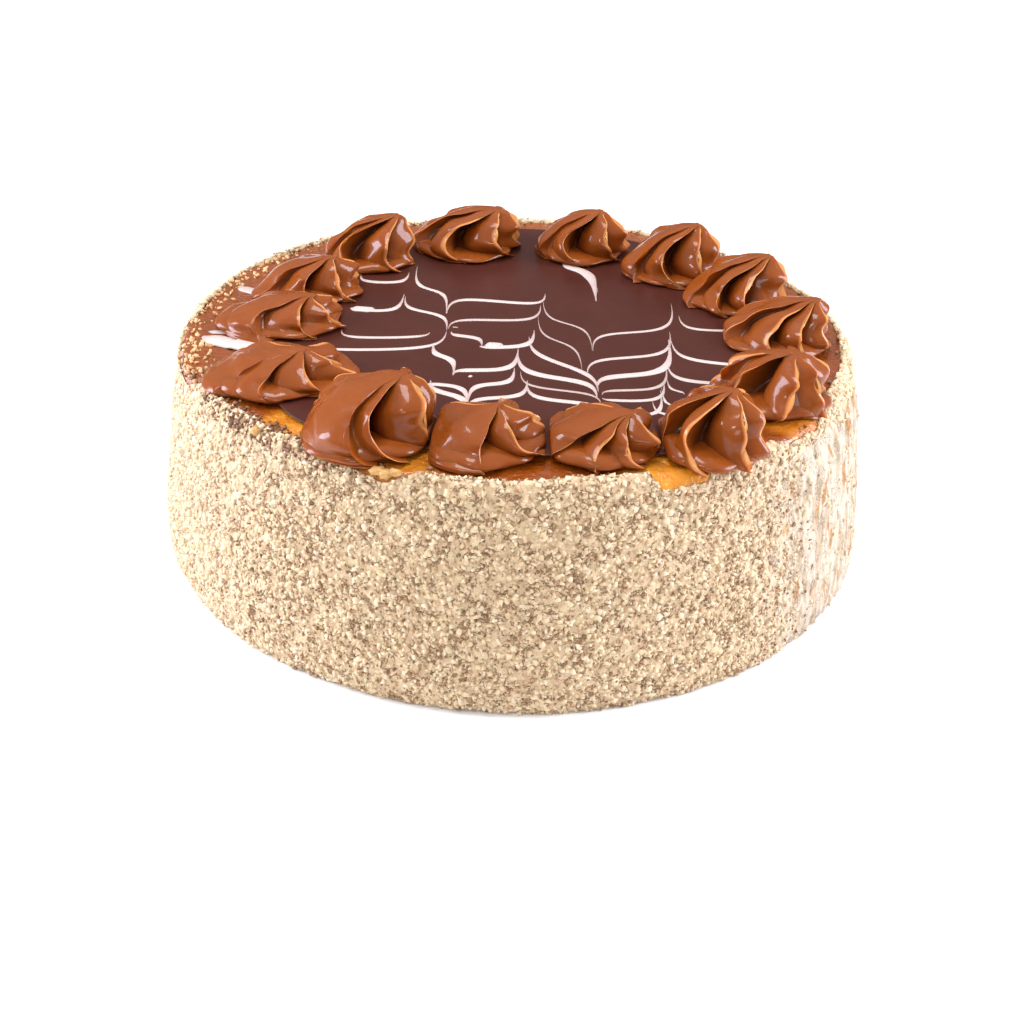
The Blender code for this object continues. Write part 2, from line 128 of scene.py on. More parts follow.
# The piped rosettes: centre of the base, base radius and height, lean of the tip and its direction
# in degrees, length along X as a share, how blunt the tip is from 0 to 1, and the folds.
# A fold is the azimuth in degrees of its crest at the foot, half way up and at the tip, how deep
# the hollow after it is, and how much that hollow is an open bowl between two thin lips rather
# than a crease beside a round lobe, from 0 to 1
Fold = namedtuple("Fold", "foot middle top depth bowl")
Rosette = namedtuple("Rosette", "x y radius height lean toward stretch blunt folds")
ROSETTE_TABLE = (
    (-0.0495, 0.0494, 0.0148, 0.0153, 0.0090, 15, 1.00, 0.6, (
        (225, 196, 240, 0.40, 0.3), (265, 222, 285, 0.72, 0.9), (322, 296, 330, 0.62, 0.6),
        (354, 362, 375, 0.55, 0.3), (415, 420, 430, 0.50, 0.4), (500, 495, 510, 0.15, 0.0),
    )),
    (-0.0172, 0.0655, 0.0175, 0.0137, 0.0095, 0, 1.05, 0.7, (
        (212, 188, 215, 0.40, 0.2), (274, 240, 285, 0.75, 0.9), (334, 300, 315, 0.60, 0.5),
        (368, 350, 362, 0.50, 0.2), (420, 420, 430, 0.50, 0.4), (490, 485, 495, 0.15, 0.0),
    )),
    (0.0217, 0.0641, 0.0156, 0.0145, 0.0050, 0, 1.00, 0.6, (
        (218, 206, 230, 0.26, 0.1), (280, 238, 295, 0.80, 0.9), (328, 302, 325, 0.60, 0.4),
        (370, 348, 362, 0.55, 0.4), (430, 425, 440, 0.50, 0.4), (500, 495, 510, 0.15, 0.0),
    )),
    (0.0520, 0.0474, 0.0162, 0.0163, 0.0065, 10, 1.00, 0.5, (
        (222, 212, 250, 0.35, 0.2), (288, 242, 305, 0.75, 0.9), (322, 300, 335, 0.60, 0.1),
        (365, 350, 368, 0.55, 0.3), (415, 418, 432, 0.50, 0.4), (495, 490, 512, 0.15, 0.0),
    )),
    (0.0712, 0.0235, 0.0160, 0.0152, 0.0080, 5, 1.00, 0.5, (
        (208, 198, 235, 0.40, 0.3), (255, 234, 290, 0.75, 0.8), (290, 268, 316, 0.62, 0.5),
        (350, 342, 355, 0.55, 0.1), (410, 408, 420, 0.50, 0.4), (490, 486, 505, 0.15, 0.0),
    )),
    (0.0804, -0.0067, 0.0164, 0.0128, 0.0105, 5, 1.00, 0.45, (
        (206, 190, 212, 0.40, 0.3), (266, 242, 246, 0.70, 0.8), (300, 276, 278, 0.70, 0.8),
        (338, 316, 318, 0.60, 0.3), (380, 372, 375, 0.50, 0.3), (430, 425, 435, 0.50, 0.4),
        (500, 492, 505, 0.15, 0.0),
    )),
    (0.0722, -0.0470, 0.0160, 0.0128, 0.0030, 0, 1.00, 0.75, (
        (172, 168, 192, 0.30, 0.1), (232, 206, 236, 0.84, 1.0), (268, 284, 288, 0.45, 0.3),
        (322, 318, 318, 0.66, 0.0), (378, 372, 372, 0.50, 0.3), (440, 430, 450, 0.50, 0.4),
    )),
    (0.0514, -0.0768, 0.0154, 0.0146, 0.0042, 10, 1.00, 0.55, (
        (196, 190, 224, 0.62, 0.5), (266, 236, 272, 0.80, 0.9), (308, 304, 306, 0.66, 0.2),
        (346, 338, 340, 0.50, 0.3), (400, 400, 410, 0.50, 0.4), (478, 474, 492, 0.30, 0.1),
    )),
    (0.0241, -0.0782, 0.0160, 0.0088, 0.0060, 0, 1.03, 0.5, (
        (212, 232, 250, 0.62, 0.8), (264, 260, 266, 0.60, 0.7), (310, 284, 284, 0.66, 0.6),
        (354, 325, 318, 0.50, 0.1), (412, 405, 400, 0.50, 0.4), (490, 490, 500, 0.15, 0.0),
    )),
    (-0.0072, -0.0794, 0.0165, 0.0098, 0.0045, 30, 1.03, 0.0, (
        (274, 266, 280, 0.68, 0.9), (345, 302, 302, 0.66, 0.2), (385, 370, 365, 0.50, 0.2),
        (440, 435, 440, 0.50, 0.4), (516, 512, 530, 0.12, 0.0),
    )),
    (-0.0364, -0.0760, 0.0180, 0.0150, 0.0075, 20, 1.02, 0.7, (
        (282, 246, 254, 0.42, 0.9), (308, 264, 280, 0.85, 0.6), (348, 328, 334, 0.62, 0.2),
        (385, 372, 380, 0.60, 0.3), (440, 430, 440, 0.50, 0.4), (506, 500, 520, 0.12, 0.0),
    )),
    (-0.0645, -0.0440, 0.0172, 0.0084, 0.0060, 0, 1.25, 0.3, (
        (226, 220, 236, 0.14, 0.0), (274, 254, 264, 0.40, 0.3), (318, 294, 294, 0.56, 0.6),
        (358, 342, 338, 0.50, 0.3), (420, 415, 420, 0.50, 0.4), (496, 492, 505, 0.12, 0.0),
    )),
    (-0.0697, -0.0048, 0.0162, 0.0087, 0.0090, 0, 1.20, 0.2, (
        (266, 232, 232, 0.34, 0.3), (308, 284, 268, 0.62, 0.7), (350, 324, 310, 0.45, 0.2),
        (392, 385, 380, 0.50, 0.4), (480, 472, 475, 0.15, 0.0),
    )),
    (-0.0655, 0.0205, 0.0152, 0.0114, 0.0070, 0, 1.12, 0.35, (
        (232, 214, 232, 0.32, 0.2), (286, 262, 272, 0.66, 0.7), (328, 310, 316, 0.52, 0.3),
        (395, 390, 395, 0.50, 0.4), (484, 480, 490, 0.15, 0.0),
    )),
)
ROSETTES = [Rosette(*row[:-1], [Fold(*fold) for fold in row[-1]]) for row in ROSETTE_TABLE]

# Form that every rosette shares
FACETS_PER_FOLD = 32
RINGS = 60
FOLD_SPAN = math.radians(60)
FOLD_BASE_DEPTH = 0.55
CREST_WIDTH = 0.15
LOBE_FALL = 0.95
BOWL_FALL = 0.22
OVERHANG = 0.45
CREST_CROWDING = 0.80
BASE_TUCK = 0.08
TUCK_HEIGHT = 0.10
TIP_NARROWING = 0.55
DOME_ROUNDING = 1.30
BLUNT_ROUNDING = 0.45
DOME_RISE = 1.20
CURL_RISE = 0.6
BASE_SHIFT = 0.25
SAG_FADE = 1.5
SAG_LIMIT = 1.6 * MM
SLACK = 0.05
FLARE = 0.10
FLARE_HEIGHT = 0.07
LIP_WAVE = 0.07
TIP_HOOK = 2.2 * MM
TIP_CLOSING = 0.65
SLUMP_SIZE = 6.5 * MM
SLUMP_DEPTH = 1.1 * MM
ROSETTE_GAP = 0.4 * MM
SOFT_CONTACT = 1.5 * MM

# The first flat turn under a rosette: radius and height as shares of its own, listed upwards
COIL_PROFILE = (
    (0.84, 0.00),
    (0.92, 0.08),
    (0.97, 0.25),
    (0.97, 0.45),
    (0.92, 0.70),
    (0.84, 0.90),
    (0.70, 1.00),
    (0.45, 1.02),
)
COIL_HEIGHT = 2.6 * MM
COIL_FACETS = 120
COIL_CREST = 0.7

# One stretch of white icing between two drags of the skewer, in plan millimetres: where it starts,
# the levels that it runs at, where it ends, its width, and how white its middle stays
Span = namedtuple("Span", "x0 y0 level0 level1 x1 y1 width white")
FEATHER_SPANS = [Span(*row) for row in (
    (-52, 36, 29, 29, -36.5, 39, 2.2, 1), (-34.2, 45, 26, 23, -22.4, 5, 1.6, 1),
    (-22.2, 5, 23.5, 9.5, 8.5, 24, 2.2, 1), (7.8, 20, 3, -3, 22.2, -20, 0.9, 0.6),
    (22.4, -20, -6, -5, 48.6, 19, 1.5, 0.9), (50.2, 9, -3.5, -1, 70, 0, 1.7, 1),
    (-50.5, 8, 5.5, 4.5, -36.6, 20, 2.2, 1), (-52, 7.4, 7, 6, -45, 5.4, 4.4, 1),
    (-36, 18, 8, 3.5, -21.5, -8, 1.8, 1), (-21, -7, 3, -1.5, 7, 14, 1.8, 0.8),
    (6.2, 6, -10, -18, 18.8, -36, 0.8, 0.6), (20.3, -37, -25.5, -23, 46.3, -4, 1.7, 0.9),
    (46.3, -11, -25, -28.5, 72, -29, 2.1, 1), (-53, -10, -18, -13, -26.5, -10, 1.8, 0.95),
    (-20, -9, -11.5, -13, -10.5, -19, 2.2, 0.9), (-11, -19, -20.5, -19, 5, -6, 2.6, 1),
    (-9.4, -18, -18, -18.6, -4.6, -19.2, 4.4, 1), (3.5, -11, -21, -40, 23, -48, 2, 0.9),
    (22.8, -46, -37.5, -36, 45.5, -10, 3, 1), (43.8, -28, -40, -41, 66, -38, 2.2, 1),
    (-58, -22, -27, -22, -21.5, -9, 1.9, 1), (-24.8, -18, -26, -29, -17.8, -40, 2.4, 1),
    (-18, -40, -35.5, -37.5, 0.3, -20, 2.6, 1), (0.2, -22, -38, -42, 22.5, -52, 2.8, 1),
    (24, -50, -46.5, -47, 43.3, -28, 1.5, 0.7), (42.9, -38, -45, -47, 47, -48, 1, 0.9),
    (-25, -47, -46, -47, -13.2, -60, 2.2, 1), (-13, -58, -45, -45.5, -0.6, -34, 2.4, 1),
    (1.2, -36, -47, -49, 23.5, -57, 1.2, 0.6), (24, -52, -53.5, -54, 41.8, -40, 1.7, 0.95),
    (40.9, -44, -54, -55, 43, -57, 0.8, 1), (-24, -44, -50, -55, -13, -64, 2.6, 1),
    (-13, -64, -54, -54, 3.2, -42, 2.2, 1), (3, -43, -55, -55, 24, -65, 2.2, 1),
    (30, -62, -62.5, -62, 40.5, -46, 1.6, 1), (37.8, -53, -61, -62, 46, -62, 1.2, 1),
    (15, 57, 50, 44, 24.7, 19, 4.2, 1), (24, 37, 33, 31, 25.4, 26, 0.6, 0.5),
    (-19.8, -5.3, -5.5, -5.6, -18.2, -5.8, 0.8, 0.5),
    (-13.5, -40.4, -40.5, -40.5, -12.5, -40.6, 1.5, 0.9),
)]

# Degrees round the side, counted from the front: where the upright ribs on the right fade in and
# out, and where the brown specks get fewer at either side and come back behind
FRONT = -90.0
RIBS_START, RIBS_END = (33.0, 52.0), (110.0, 140.0)
SPECKS_FEWER, SPECKS_BACK = (33.0, 56.0), (110.0, 140.0)

# Azimuths in degrees of the wet rim at the front left, whose dark crumbs also paint the shadow
# under the crumb edge, and of the crumbs spilt on the left
WET_AND_SHADOW_RIM = -134.0
SPILT_RIM = 178.0

# White icing that the spatula carried out over the rim
RIM_SPANS = [Span(*row) for row in (
    (-93, -10.8, -11.2, -12.4, -83, -12.6, 2.8, 0.9), (-93.6, -14.6, -13.6, -28, -72, -30, 7.6, 1),
    (-90, 27, 26, 19, -82, 16.5, 4.6, 0.9),
)]
RIM_ICING_LIFT = 0.15 * MM
ICING_LIMIT = GLAZE_RADIUS - 6.0 * MM
BEAD_SIDES = 8
SPAN_STEPS = 40
SPAN_TURN = 0.15
THIN_SHARE = 0.24
ICING_FLATNESS = 0.14

# Colours, red, green and blue in linear light
CRUMB_CREAM = (0.745, 0.600, 0.395)
CRUMB_BEIGE = (0.630, 0.455, 0.280)
COAT_LIGHT = (0.765, 0.610, 0.385)
COAT_PINK = (0.620, 0.440, 0.280)
# Brown of the bed's specks, also used as painted shade in its crevices and between the crumbs
COAT_SPECK_AND_SHADE = (0.225, 0.115, 0.050)
RIB_CREAM = (0.570, 0.480, 0.380)
# Painted shade in the bands between the upright ribs
RIB_PAINTED_SHADE = (0.400, 0.310, 0.215)
RIB_BROWN = (0.360, 0.170, 0.050)
TOAST_LIGHT = (0.640, 0.450, 0.285)
TOAST_DARK = (0.420, 0.240, 0.120)
# Soaked crumbs, dark enough to be painted shadow under the crumb edge as well
SOAKED_AND_SHADOW_LIGHT = (0.300, 0.140, 0.060)
SOAKED_AND_SHADOW_DARK = (0.095, 0.038, 0.018)
MEAL_LIGHT = (0.520, 0.340, 0.190)
MEAL_DARK = (0.300, 0.165, 0.075)
SPILT_LIGHT = (0.820, 0.560, 0.280)
SPILT_DARK = (0.460, 0.200, 0.070)
SKIN_LIGHT = (0.340, 0.195, 0.090)
SKIN_DARK = (0.160, 0.085, 0.040)
NUT_CREAM = (0.730, 0.610, 0.440)
NUT_PALE = (0.620, 0.380, 0.130)
NUT_GOLD = (0.400, 0.165, 0.035)
# The light caramel serves for random patches and for the painted highlight on thin crests; the deep
# caramel is painted shade in the hollows
CARAMEL_PATCH_AND_LIT_CREST = (0.600, 0.240, 0.075)
CARAMEL_MID = (0.205, 0.044, 0.0045)
CARAMEL_HOLLOW_SHADE = (0.060, 0.010, 0.0015)
AMBER_LIGHT = (0.740, 0.300, 0.028)
AMBER_DEEP = (0.520, 0.150, 0.008)
SHEET_BROWN = (0.230, 0.048, 0.004)
CHOCOLATE_DEEP = (0.0500, 0.0120, 0.0080)
CHOCOLATE_LIGHT = (0.0650, 0.0165, 0.0110)
ICING_WHITE = (0.600, 0.500, 0.460)
ICING_FADED = (0.280, 0.130, 0.110)

# Width of the ribs, the share of crumbs missing there, and how far the patterns of flutes, ribs
# and streaks are drawn out upwards
RIB_SIZE = 5.0 * MM
BARE_RIBS = 0.94
FLUTE_SQUASH = 0.10
RIB_SQUASH = 0.12
STREAK_SQUASH = 0.30

# Relief of the coat: width and depth of its clumps, its slow swells and its upright flutes
RELIEF_SIZES = {
    "Clump Size": 3.0 * MM,
    "Clump Depth": 1.2 * MM,
    "Swell Size": 28.0 * MM,
    "Swell Depth": 1.0 * MM,
    "Flute Size": 4.4 * MM,
    "Flute Depth": 2.6 * MM,
}
BED_CRUMB_SIZE = 1.7 * MM
BED_SPECK_SHARE = 0.16

# Every kind of crumb: the mark that says where it lies, how many are asked for, smallest and
# largest radius in millimetres, how flat and how broken it may be, how far it stands out as a
# share of its size, and its finish with a light and a dark colour and the roughness
CrumbKind = namedtuple(
    "CrumbKind", "name where count smallest largest flattest brokenness lift finish"
)
CRUMB_KINDS = [CrumbKind(*row) for row in (
    ("cream_crumbs", "cover", 9700, 0.40, 1.10, 0.40, 0.42, -0.10,
     ("cream_crumb", CRUMB_CREAM, CRUMB_BEIGE, 0.85)),
    ("pale_crumbs", "cover", 8600, 0.36, 0.98, 0.40, 0.42, -0.05,
     ("pale_crumb", NUT_CREAM, CRUMB_CREAM, 0.80)),
    ("beige_crumbs", "cover", 9700, 0.40, 1.10, 0.40, 0.42, -0.15,
     ("beige_crumb", COAT_LIGHT, COAT_PINK, 0.85)),
    ("toasted_crumbs", "cover", 7500, 0.30, 0.74, 0.40, 0.42, -0.05,
     ("toasted_crumb", TOAST_LIGHT, TOAST_DARK, 0.85)),
    ("fine_meal", "specks", 7200, 0.26, 0.50, 0.40, 0.42, 0.80,
     ("fine_meal", MEAL_LIGHT, MEAL_DARK, 0.90)),
    ("brown_skins", "specks", 2600, 0.30, 0.62, 0.25, 0.42, 0.35,
     ("brown_nut_skin", SKIN_LIGHT, SKIN_DARK, 0.70)),
    ("nut_chips", "cover", 900, 0.80, 1.45, 0.40, 0.30, -0.35,
     ("nut_chip", NUT_CREAM, CRUMB_CREAM, 0.60)),
    # Soaked crumbs and specks near the crumb edge are partly real soaked crumbs and partly painted
    # shadow
    ("soaked_and_shadow_crumbs", "soaked_and_shadow_edge", 900, 0.35, 0.95, 0.50, 0.40, 0.20,
     ("soaked_and_shadow_crumb", SOAKED_AND_SHADOW_LIGHT, SOAKED_AND_SHADOW_DARK, 0.35)),
    ("rim_specks", "wet_and_shadow_rim", 420, 0.35, 0.85, 0.45, 0.42, 0.15,
     ("wet_and_shadow_speck", SOAKED_AND_SHADOW_LIGHT, SOAKED_AND_SHADOW_DARK, 0.60)),
    ("spilt_crumbs", "spilt", 420, 0.35, 0.95, 0.55, 0.40, 0.30,
     ("spilt_crumb", SPILT_LIGHT, SPILT_DARK, 0.45)),
)]

# Area in square metres that each mark stands for
COVERED_AREAS = {
    "cover": 0.0555, "specks": 0.0340, "soaked_and_shadow_edge": 0.0012, "spilt": 0.0012, "wet_and_shadow_rim": 0.0006,
}
SEED = 1127
NARROWEST_CRUMB = 0.6

# Nut pieces at the edge of the crumbs: azimuth in degrees, radius, length, width and height
NutPiece = namedtuple("NutPiece", "azimuth radius length width height")
NUT_PIECES = (
    NutPiece(-109.8, 100.8 * MM, 4.2 * MM, 3.2 * MM, 2.2 * MM),
    NutPiece(-108.5, 101.0 * MM, 3.4 * MM, 3.0 * MM, 2.6 * MM),
    NutPiece(-107.1, 100.5 * MM, 3.4 * MM, 2.8 * MM, 2.0 * MM),
    NutPiece(-132.5, 101.0 * MM, 3.0 * MM, 2.8 * MM, 2.6 * MM),
)
NUT_ROUGHNESS = 0.45

# How finely the coat, the sheet and the glaze are drawn
COAT_STEPS = 720
COAT_INSET = 0.6 * MM
SIDE_RINGS = 56
SHOULDER_RINGS = 12
SHEET_STEPS = 540
SHEET_RINGS = 26
GLAZE_STEPS = 288

# The sheet of dulce de leche: its foot, where its top begins, and its smears
SHEET_FOOT = 60.0 * MM
SHEET_INNER = 74.0 * MM
SMEAR_SIZE = 7.0 * MM
SMEAR_DEPTH = 0.9 * MM
SMEAR_START = 86.0 * MM

# The camera that sees the cake as the photograph shows it
SENSOR_WIDTH = 36.0
CAMERA_LENS = 1450.0 / 1024.0 * SENSOR_WIDTH
CAMERA_PLACE = (0.0, -0.4147, 0.2400)
CAMERA_TILT = 59.83
CAMERA_ROLL = 1.79

# The softboxes: where each hangs, what it points at, width, height, power and tint
Softbox = namedtuple("Softbox", "name place aim width height power tint")
NEUTRAL = (1.0, 1.0, 1.0)
COOL = (0.94, 0.97, 1.12)
COLD = (0.91, 0.96, 1.17)
SOFTBOXES = (
    Softbox("overhead_box", (-0.15, 0.05, 0.95), (0.0, 0.0, 0.05), 0.40, 0.30, 5.0, NEUTRAL),
    Softbox("front_box", (-0.10, -0.85, 0.45), (0.0, -0.05, 0.07), 0.30, 0.20, 1.1, NEUTRAL),
    Softbox("glint_box", (-0.38, -0.60, 0.72), (0.0, 0.0, 0.07), 0.15, 0.10, 1.5, NEUTRAL),
    Softbox("left_box", (-0.95, 0.05, 0.35), (0.0, 0.0, 0.04), 0.35, 0.70, 12.6, COLD),
    Softbox("right_box", (0.95, -0.05, 0.40), (0.0, 0.0, 0.04), 0.35, 0.70, 12.5, COOL),
)

# Strength of the pale surrounding: low down, toward the sides, behind the camera and overhead
HORIZON_LIGHT = 0.16
SIDE_LIGHT = 0.45
VIEW_LIGHT = 0.08
SKY_LIGHT = 0.90
FLOOR_RADIUS = 4.0


def smooth_step(low, high, value):
    """Ease from 0 at low to 1 at high, for numbers and arrays"""
    share = np.clip((value - low) / (high - low), 0.0, 1.0)
    return share * share * (3.0 - 2.0 * share)


def shoulder_height(radius):
    """Height of the cake's rounded shoulder at a radius"""
    share = np.clip((radius - RIM_FLAT_RADIUS) / (SIDE_TOP_RADIUS - RIM_FLAT_RADIUS), 0.0, 1.0)
    fall = (1.0 - share ** SHOULDER_SQUARENESS) ** SHOULDER_FALL
    return SIDE_TOP_HEIGHT + (RIM_LEVEL - SIDE_TOP_HEIGHT) * fall


def side_radius(height):
    """Radius of the crumb coat at a height of the side"""
    levels = [(SIDE_TOP_HEIGHT, SIDE_RADIUS - SIDE_TOP_RADIUS), *SIDE_LEVELS]
    heights = [level for level, inset in reversed(levels)]
    insets = [inset for level, inset in reversed(levels)]
    return SIDE_RADIUS - np.interp(height, heights, insets)


def turn_between(azimuth, centre):
    """Signed degrees from a centre to an azimuth in radians, from -180 to 180"""
    return (np.degrees(azimuth) - centre + 180.0) % 360.0 - 180.0


def crumb_edge(azimuth):
    """Inner radius of the crumb coat on top, further out where dulce de leche shows bare"""
    radius = CRUMB_EDGE_RADIUS + spot_sum(azimuth, BARE_SPOTS)
    waver = np.sin(7.0 * azimuth + 0.8) + 0.7 * np.sin(19.0 * azimuth)
    return np.minimum(radius + CRUMB_EDGE_WAVER * waver, CRUMB_EDGE_LIMIT)


def spot_sum(azimuth, spots):
    """Sum of what soft edged spots add at an azimuth"""
    total = 0.0 * azimuth
    for spot in spots:
        away = np.abs(turn_between(azimuth, spot.azimuth)) / spot.half_width
        total = total + spot.reach * (1.0 - smooth_step(0.4, 1.0, away))
    return total


def glaze_edge(azimuth):
    """Radius where the chocolate glaze ends"""
    waver = GLAZE_WAVER * np.sin(5.0 * azimuth + 1.1) * np.sin(11.0 * azimuth)
    return GLAZE_RADIUS + waver + spot_sum(azimuth, GLAZE_RUNS)


def support_height(points):
    """Height of what lies under points: glaze, then the dulce de leche sheet, then the shoulder"""
    radius = np.hypot(points[..., 0], points[..., 1])
    ends = glaze_edge(np.arctan2(points[..., 1], points[..., 0]))
    sheet = np.minimum(CARAMEL_TOP, shoulder_height(radius))
    edge = smooth_step(-2.0 * MM, 1.0 * MM, radius - ends)
    return GLAZE_TOP + (sheet - GLAZE_TOP) * edge


def skin(name, rings, under, top):
    """A closed mesh from rings of points, listed upwards, with one point at either end"""
    levels, around = rings.shape[:2]
    points = [tuple(point) for point in rings.reshape(-1, 3)]
    points += [tuple(under), tuple(top)]
    under_index = levels * around
    top_index = under_index + 1
    last = (levels - 1) * around
    faces = []
    for level in range(levels - 1):
        low = level * around
        for step in range(around):
            after = (step + 1) % around
            faces.append((low + step, low + after, low + after + around, low + step + around))
    for step in range(around):
        after = (step + 1) % around
        faces.append((after, step, under_index))
        faces.append((last + step, last + after, top_index))
    mesh = bpy.data.meshes.new(name)
    mesh.from_pydata(points, [], faces)
    mesh.shade_smooth()
    return shown(name, mesh)


def mark_points(piece, name, values):
    """Store one number for each point of a piece"""
    layer = piece.data.attributes.new(name, "FLOAT", "POINT")
    layer.data.foreach_set("value", np.asarray(values, np.float32).ravel())


def mark_rings(piece, name, values, ends=(0.0, 0.0)):
    """Store one number for each point of a skin's rings and for its two ends"""
    mark_points(piece, name, np.append(values, ends))


def shown(name, data):
    """Put a mesh, a camera or a lamp into the scene as an object"""
    piece = bpy.data.objects.new(name, data)
    bpy.context.scene.collection.objects.link(piece)
    return piece


def put(tree, kind, settings=(), feeds=()):
    """Add a node, set its options, and feed its inputs with values or other nodes' outputs"""
    node = tree.nodes.new(kind)
    for option, value in dict(settings).items():
        setattr(node, option, value)
    for key, value in dict(feeds).items():
        if isinstance(value, bpy.types.NodeSocket):
            tree.links.new(value, node.inputs[key])
        else:
            node.inputs[key].default_value = value
    return node


def output_of(tree, kind, feeds=(), settings=()):
    """Add a node, as its first output"""
    return put(tree, kind, settings, feeds).outputs[0]


def maths(tree, operation, *values):
    """One Math node, as the socket that holds its result"""
    return output_of(tree, "ShaderNodeMath", enumerate(values), {"operation": operation})


def times(tree, first, second):
    """The product of two numbers"""
    return maths(tree, "MULTIPLY", first, second)


def minus(tree, first, second):
    """The difference of two numbers"""
    return maths(tree, "SUBTRACT", first, second)


def vector_math(tree, operation, first, second):
    """One Vector Math node, as the socket that holds its vector"""
    feeds = {0: first, "Scale" if operation == "SCALE" else 1: second}
    return output_of(tree, "ShaderNodeVectorMath", feeds, {"operation": operation})


def noise_value(tree, place, scale, detail):
    """One Noise Texture node, as the socket that holds its value"""
    feeds = {"Vector": place, "Scale": scale, "Detail": detail}
    return output_of(tree, "ShaderNodeTexNoise", feeds)


def smooth_range(tree, value, low, high, start=0.0, end=1.0):
    """A number eased from start at low to end at high"""
    feeds = {"Value": value, "From Min": low, "From Max": high, "To Min": start, "To Max": end}
    return output_of(tree, "ShaderNodeMapRange", feeds, {"interpolation_type": "SMOOTHSTEP"})


def random_number(tree, seed, low, high):
    """One random number for each crumb, as the socket that holds it"""
    feeds = {2: low, 3: high, "Seed": seed}
    return put(tree, "FunctionNodeRandomValue", {"data_type": "FLOAT"}, feeds).outputs[1]


def random_vector(tree, seed, low, high):
    """One random vector with each part between low and high, as the socket that holds it"""
    feeds = {0: (low, low, low), 1: (high, high, high), "Seed": seed}
    return output_of(tree, "FunctionNodeRandomValue", feeds, {"data_type": "FLOAT_VECTOR"})


def moved_by(tree, geometry, offset):
    """One Set Position node, as the socket that holds the moved geometry"""
    feeds = {"Geometry": geometry, "Offset": offset}
    return output_of(tree, "GeometryNodeSetPosition", feeds)


def finish_tree(tree, geometry, material, result):
    """Give the geometry its material and hand it out of the tree"""
    feeds = {"Geometry": geometry, "Material": material}
    painted = put(tree, "GeometryNodeSetMaterial", (), feeds)
    tree.links.new(painted.outputs[0], result[0])


def typed(socket_type, *names):
    """Name and type of several sockets of one kind"""
    return [(name, socket_type) for name in names]


GEOMETRY = typed("NodeSocketGeometry", "Geometry")
MATERIAL = typed("NodeSocketMaterial", "Material")


def new_tree(kind, name, inputs, outputs):
    """A node group with named sockets, what it is given, and where its results go"""
    tree = bpy.data.node_groups.new(name, kind)
    for socket_name, socket_type in inputs:
        tree.interface.new_socket(socket_name, in_out="INPUT", socket_type=socket_type)
    for socket_name, socket_type in outputs:
        tree.interface.new_socket(socket_name, in_out="OUTPUT", socket_type=socket_type)
    given = tree.nodes.new("NodeGroupInput").outputs
    return tree, given, tree.nodes.new("NodeGroupOutput").inputs


def grow(piece, tree, sizes):
    """Run a Geometry Nodes tree on a piece with its named inputs, and keep the mesh it makes"""
    modifier = piece.modifiers.new(tree.name, "NODES")
    modifier.node_group = tree
    for item in tree.interface.items_tree:
        if item.item_type == "SOCKET" and item.in_out == "INPUT" and item.name in sizes:
            modifier[item.identifier] = sizes[item.name]
    graph = bpy.context.evaluated_depsgraph_get()
    made = bpy.data.meshes.new_from_object(
        piece.evaluated_get(graph), preserve_all_data_layers=True, depsgraph=graph
    )
    piece.modifiers.remove(modifier)
    piece.data = made
    made.name = piece.name
    return piece


def named_number(tree, name):
    """The socket that reads one stored number inside a Geometry Nodes tree"""
    kind = "GeometryNodeInputNamedAttribute"
    return output_of(tree, kind, {"Name": name}, {"data_type": "FLOAT"})


def relief_tree():
    """Push a skin in and out along its normals by clumps, slow swells and upright flutes"""
    sizes = typed("NodeSocketFloat", "Clump Size", "Swell Size", "Flute Size")
    depths = typed("NodeSocketFloat", "Clump Depth", "Swell Depth", "Flute Depth")
    inputs = GEOMETRY + sizes + depths + MATERIAL
    tree, given, result = new_tree("GeometryNodeTree", "crumb_coat_relief", inputs, GEOMETRY)
    place = output_of(tree, "GeometryNodeInputPosition")
    upright = vector_math(tree, "MULTIPLY", place, (1.0, 1.0, FLUTE_SQUASH))
    total = None
    for size, depth, where, mask in (
        ("Clump Size", "Clump Depth", place, "coat"),
        ("Swell Size", "Swell Depth", place, "coat"),
        ("Flute Size", "Flute Depth", upright, "flutes"),
    ):
        scale = maths(tree, "DIVIDE", 1.0, given[size])
        centred = minus(tree, noise_value(tree, where, scale, 2.0), 0.5)
        lift = times(tree, centred, given[depth])
        lift = times(tree, lift, named_number(tree, mask))
        total = lift if total is None else maths(tree, "ADD", total, lift)
    normal = output_of(tree, "GeometryNodeInputNormal")
    moved = moved_by(tree, given["Geometry"], vector_math(tree, "SCALE", normal, total))
    finish_tree(tree, moved, given["Material"], result)
    return tree


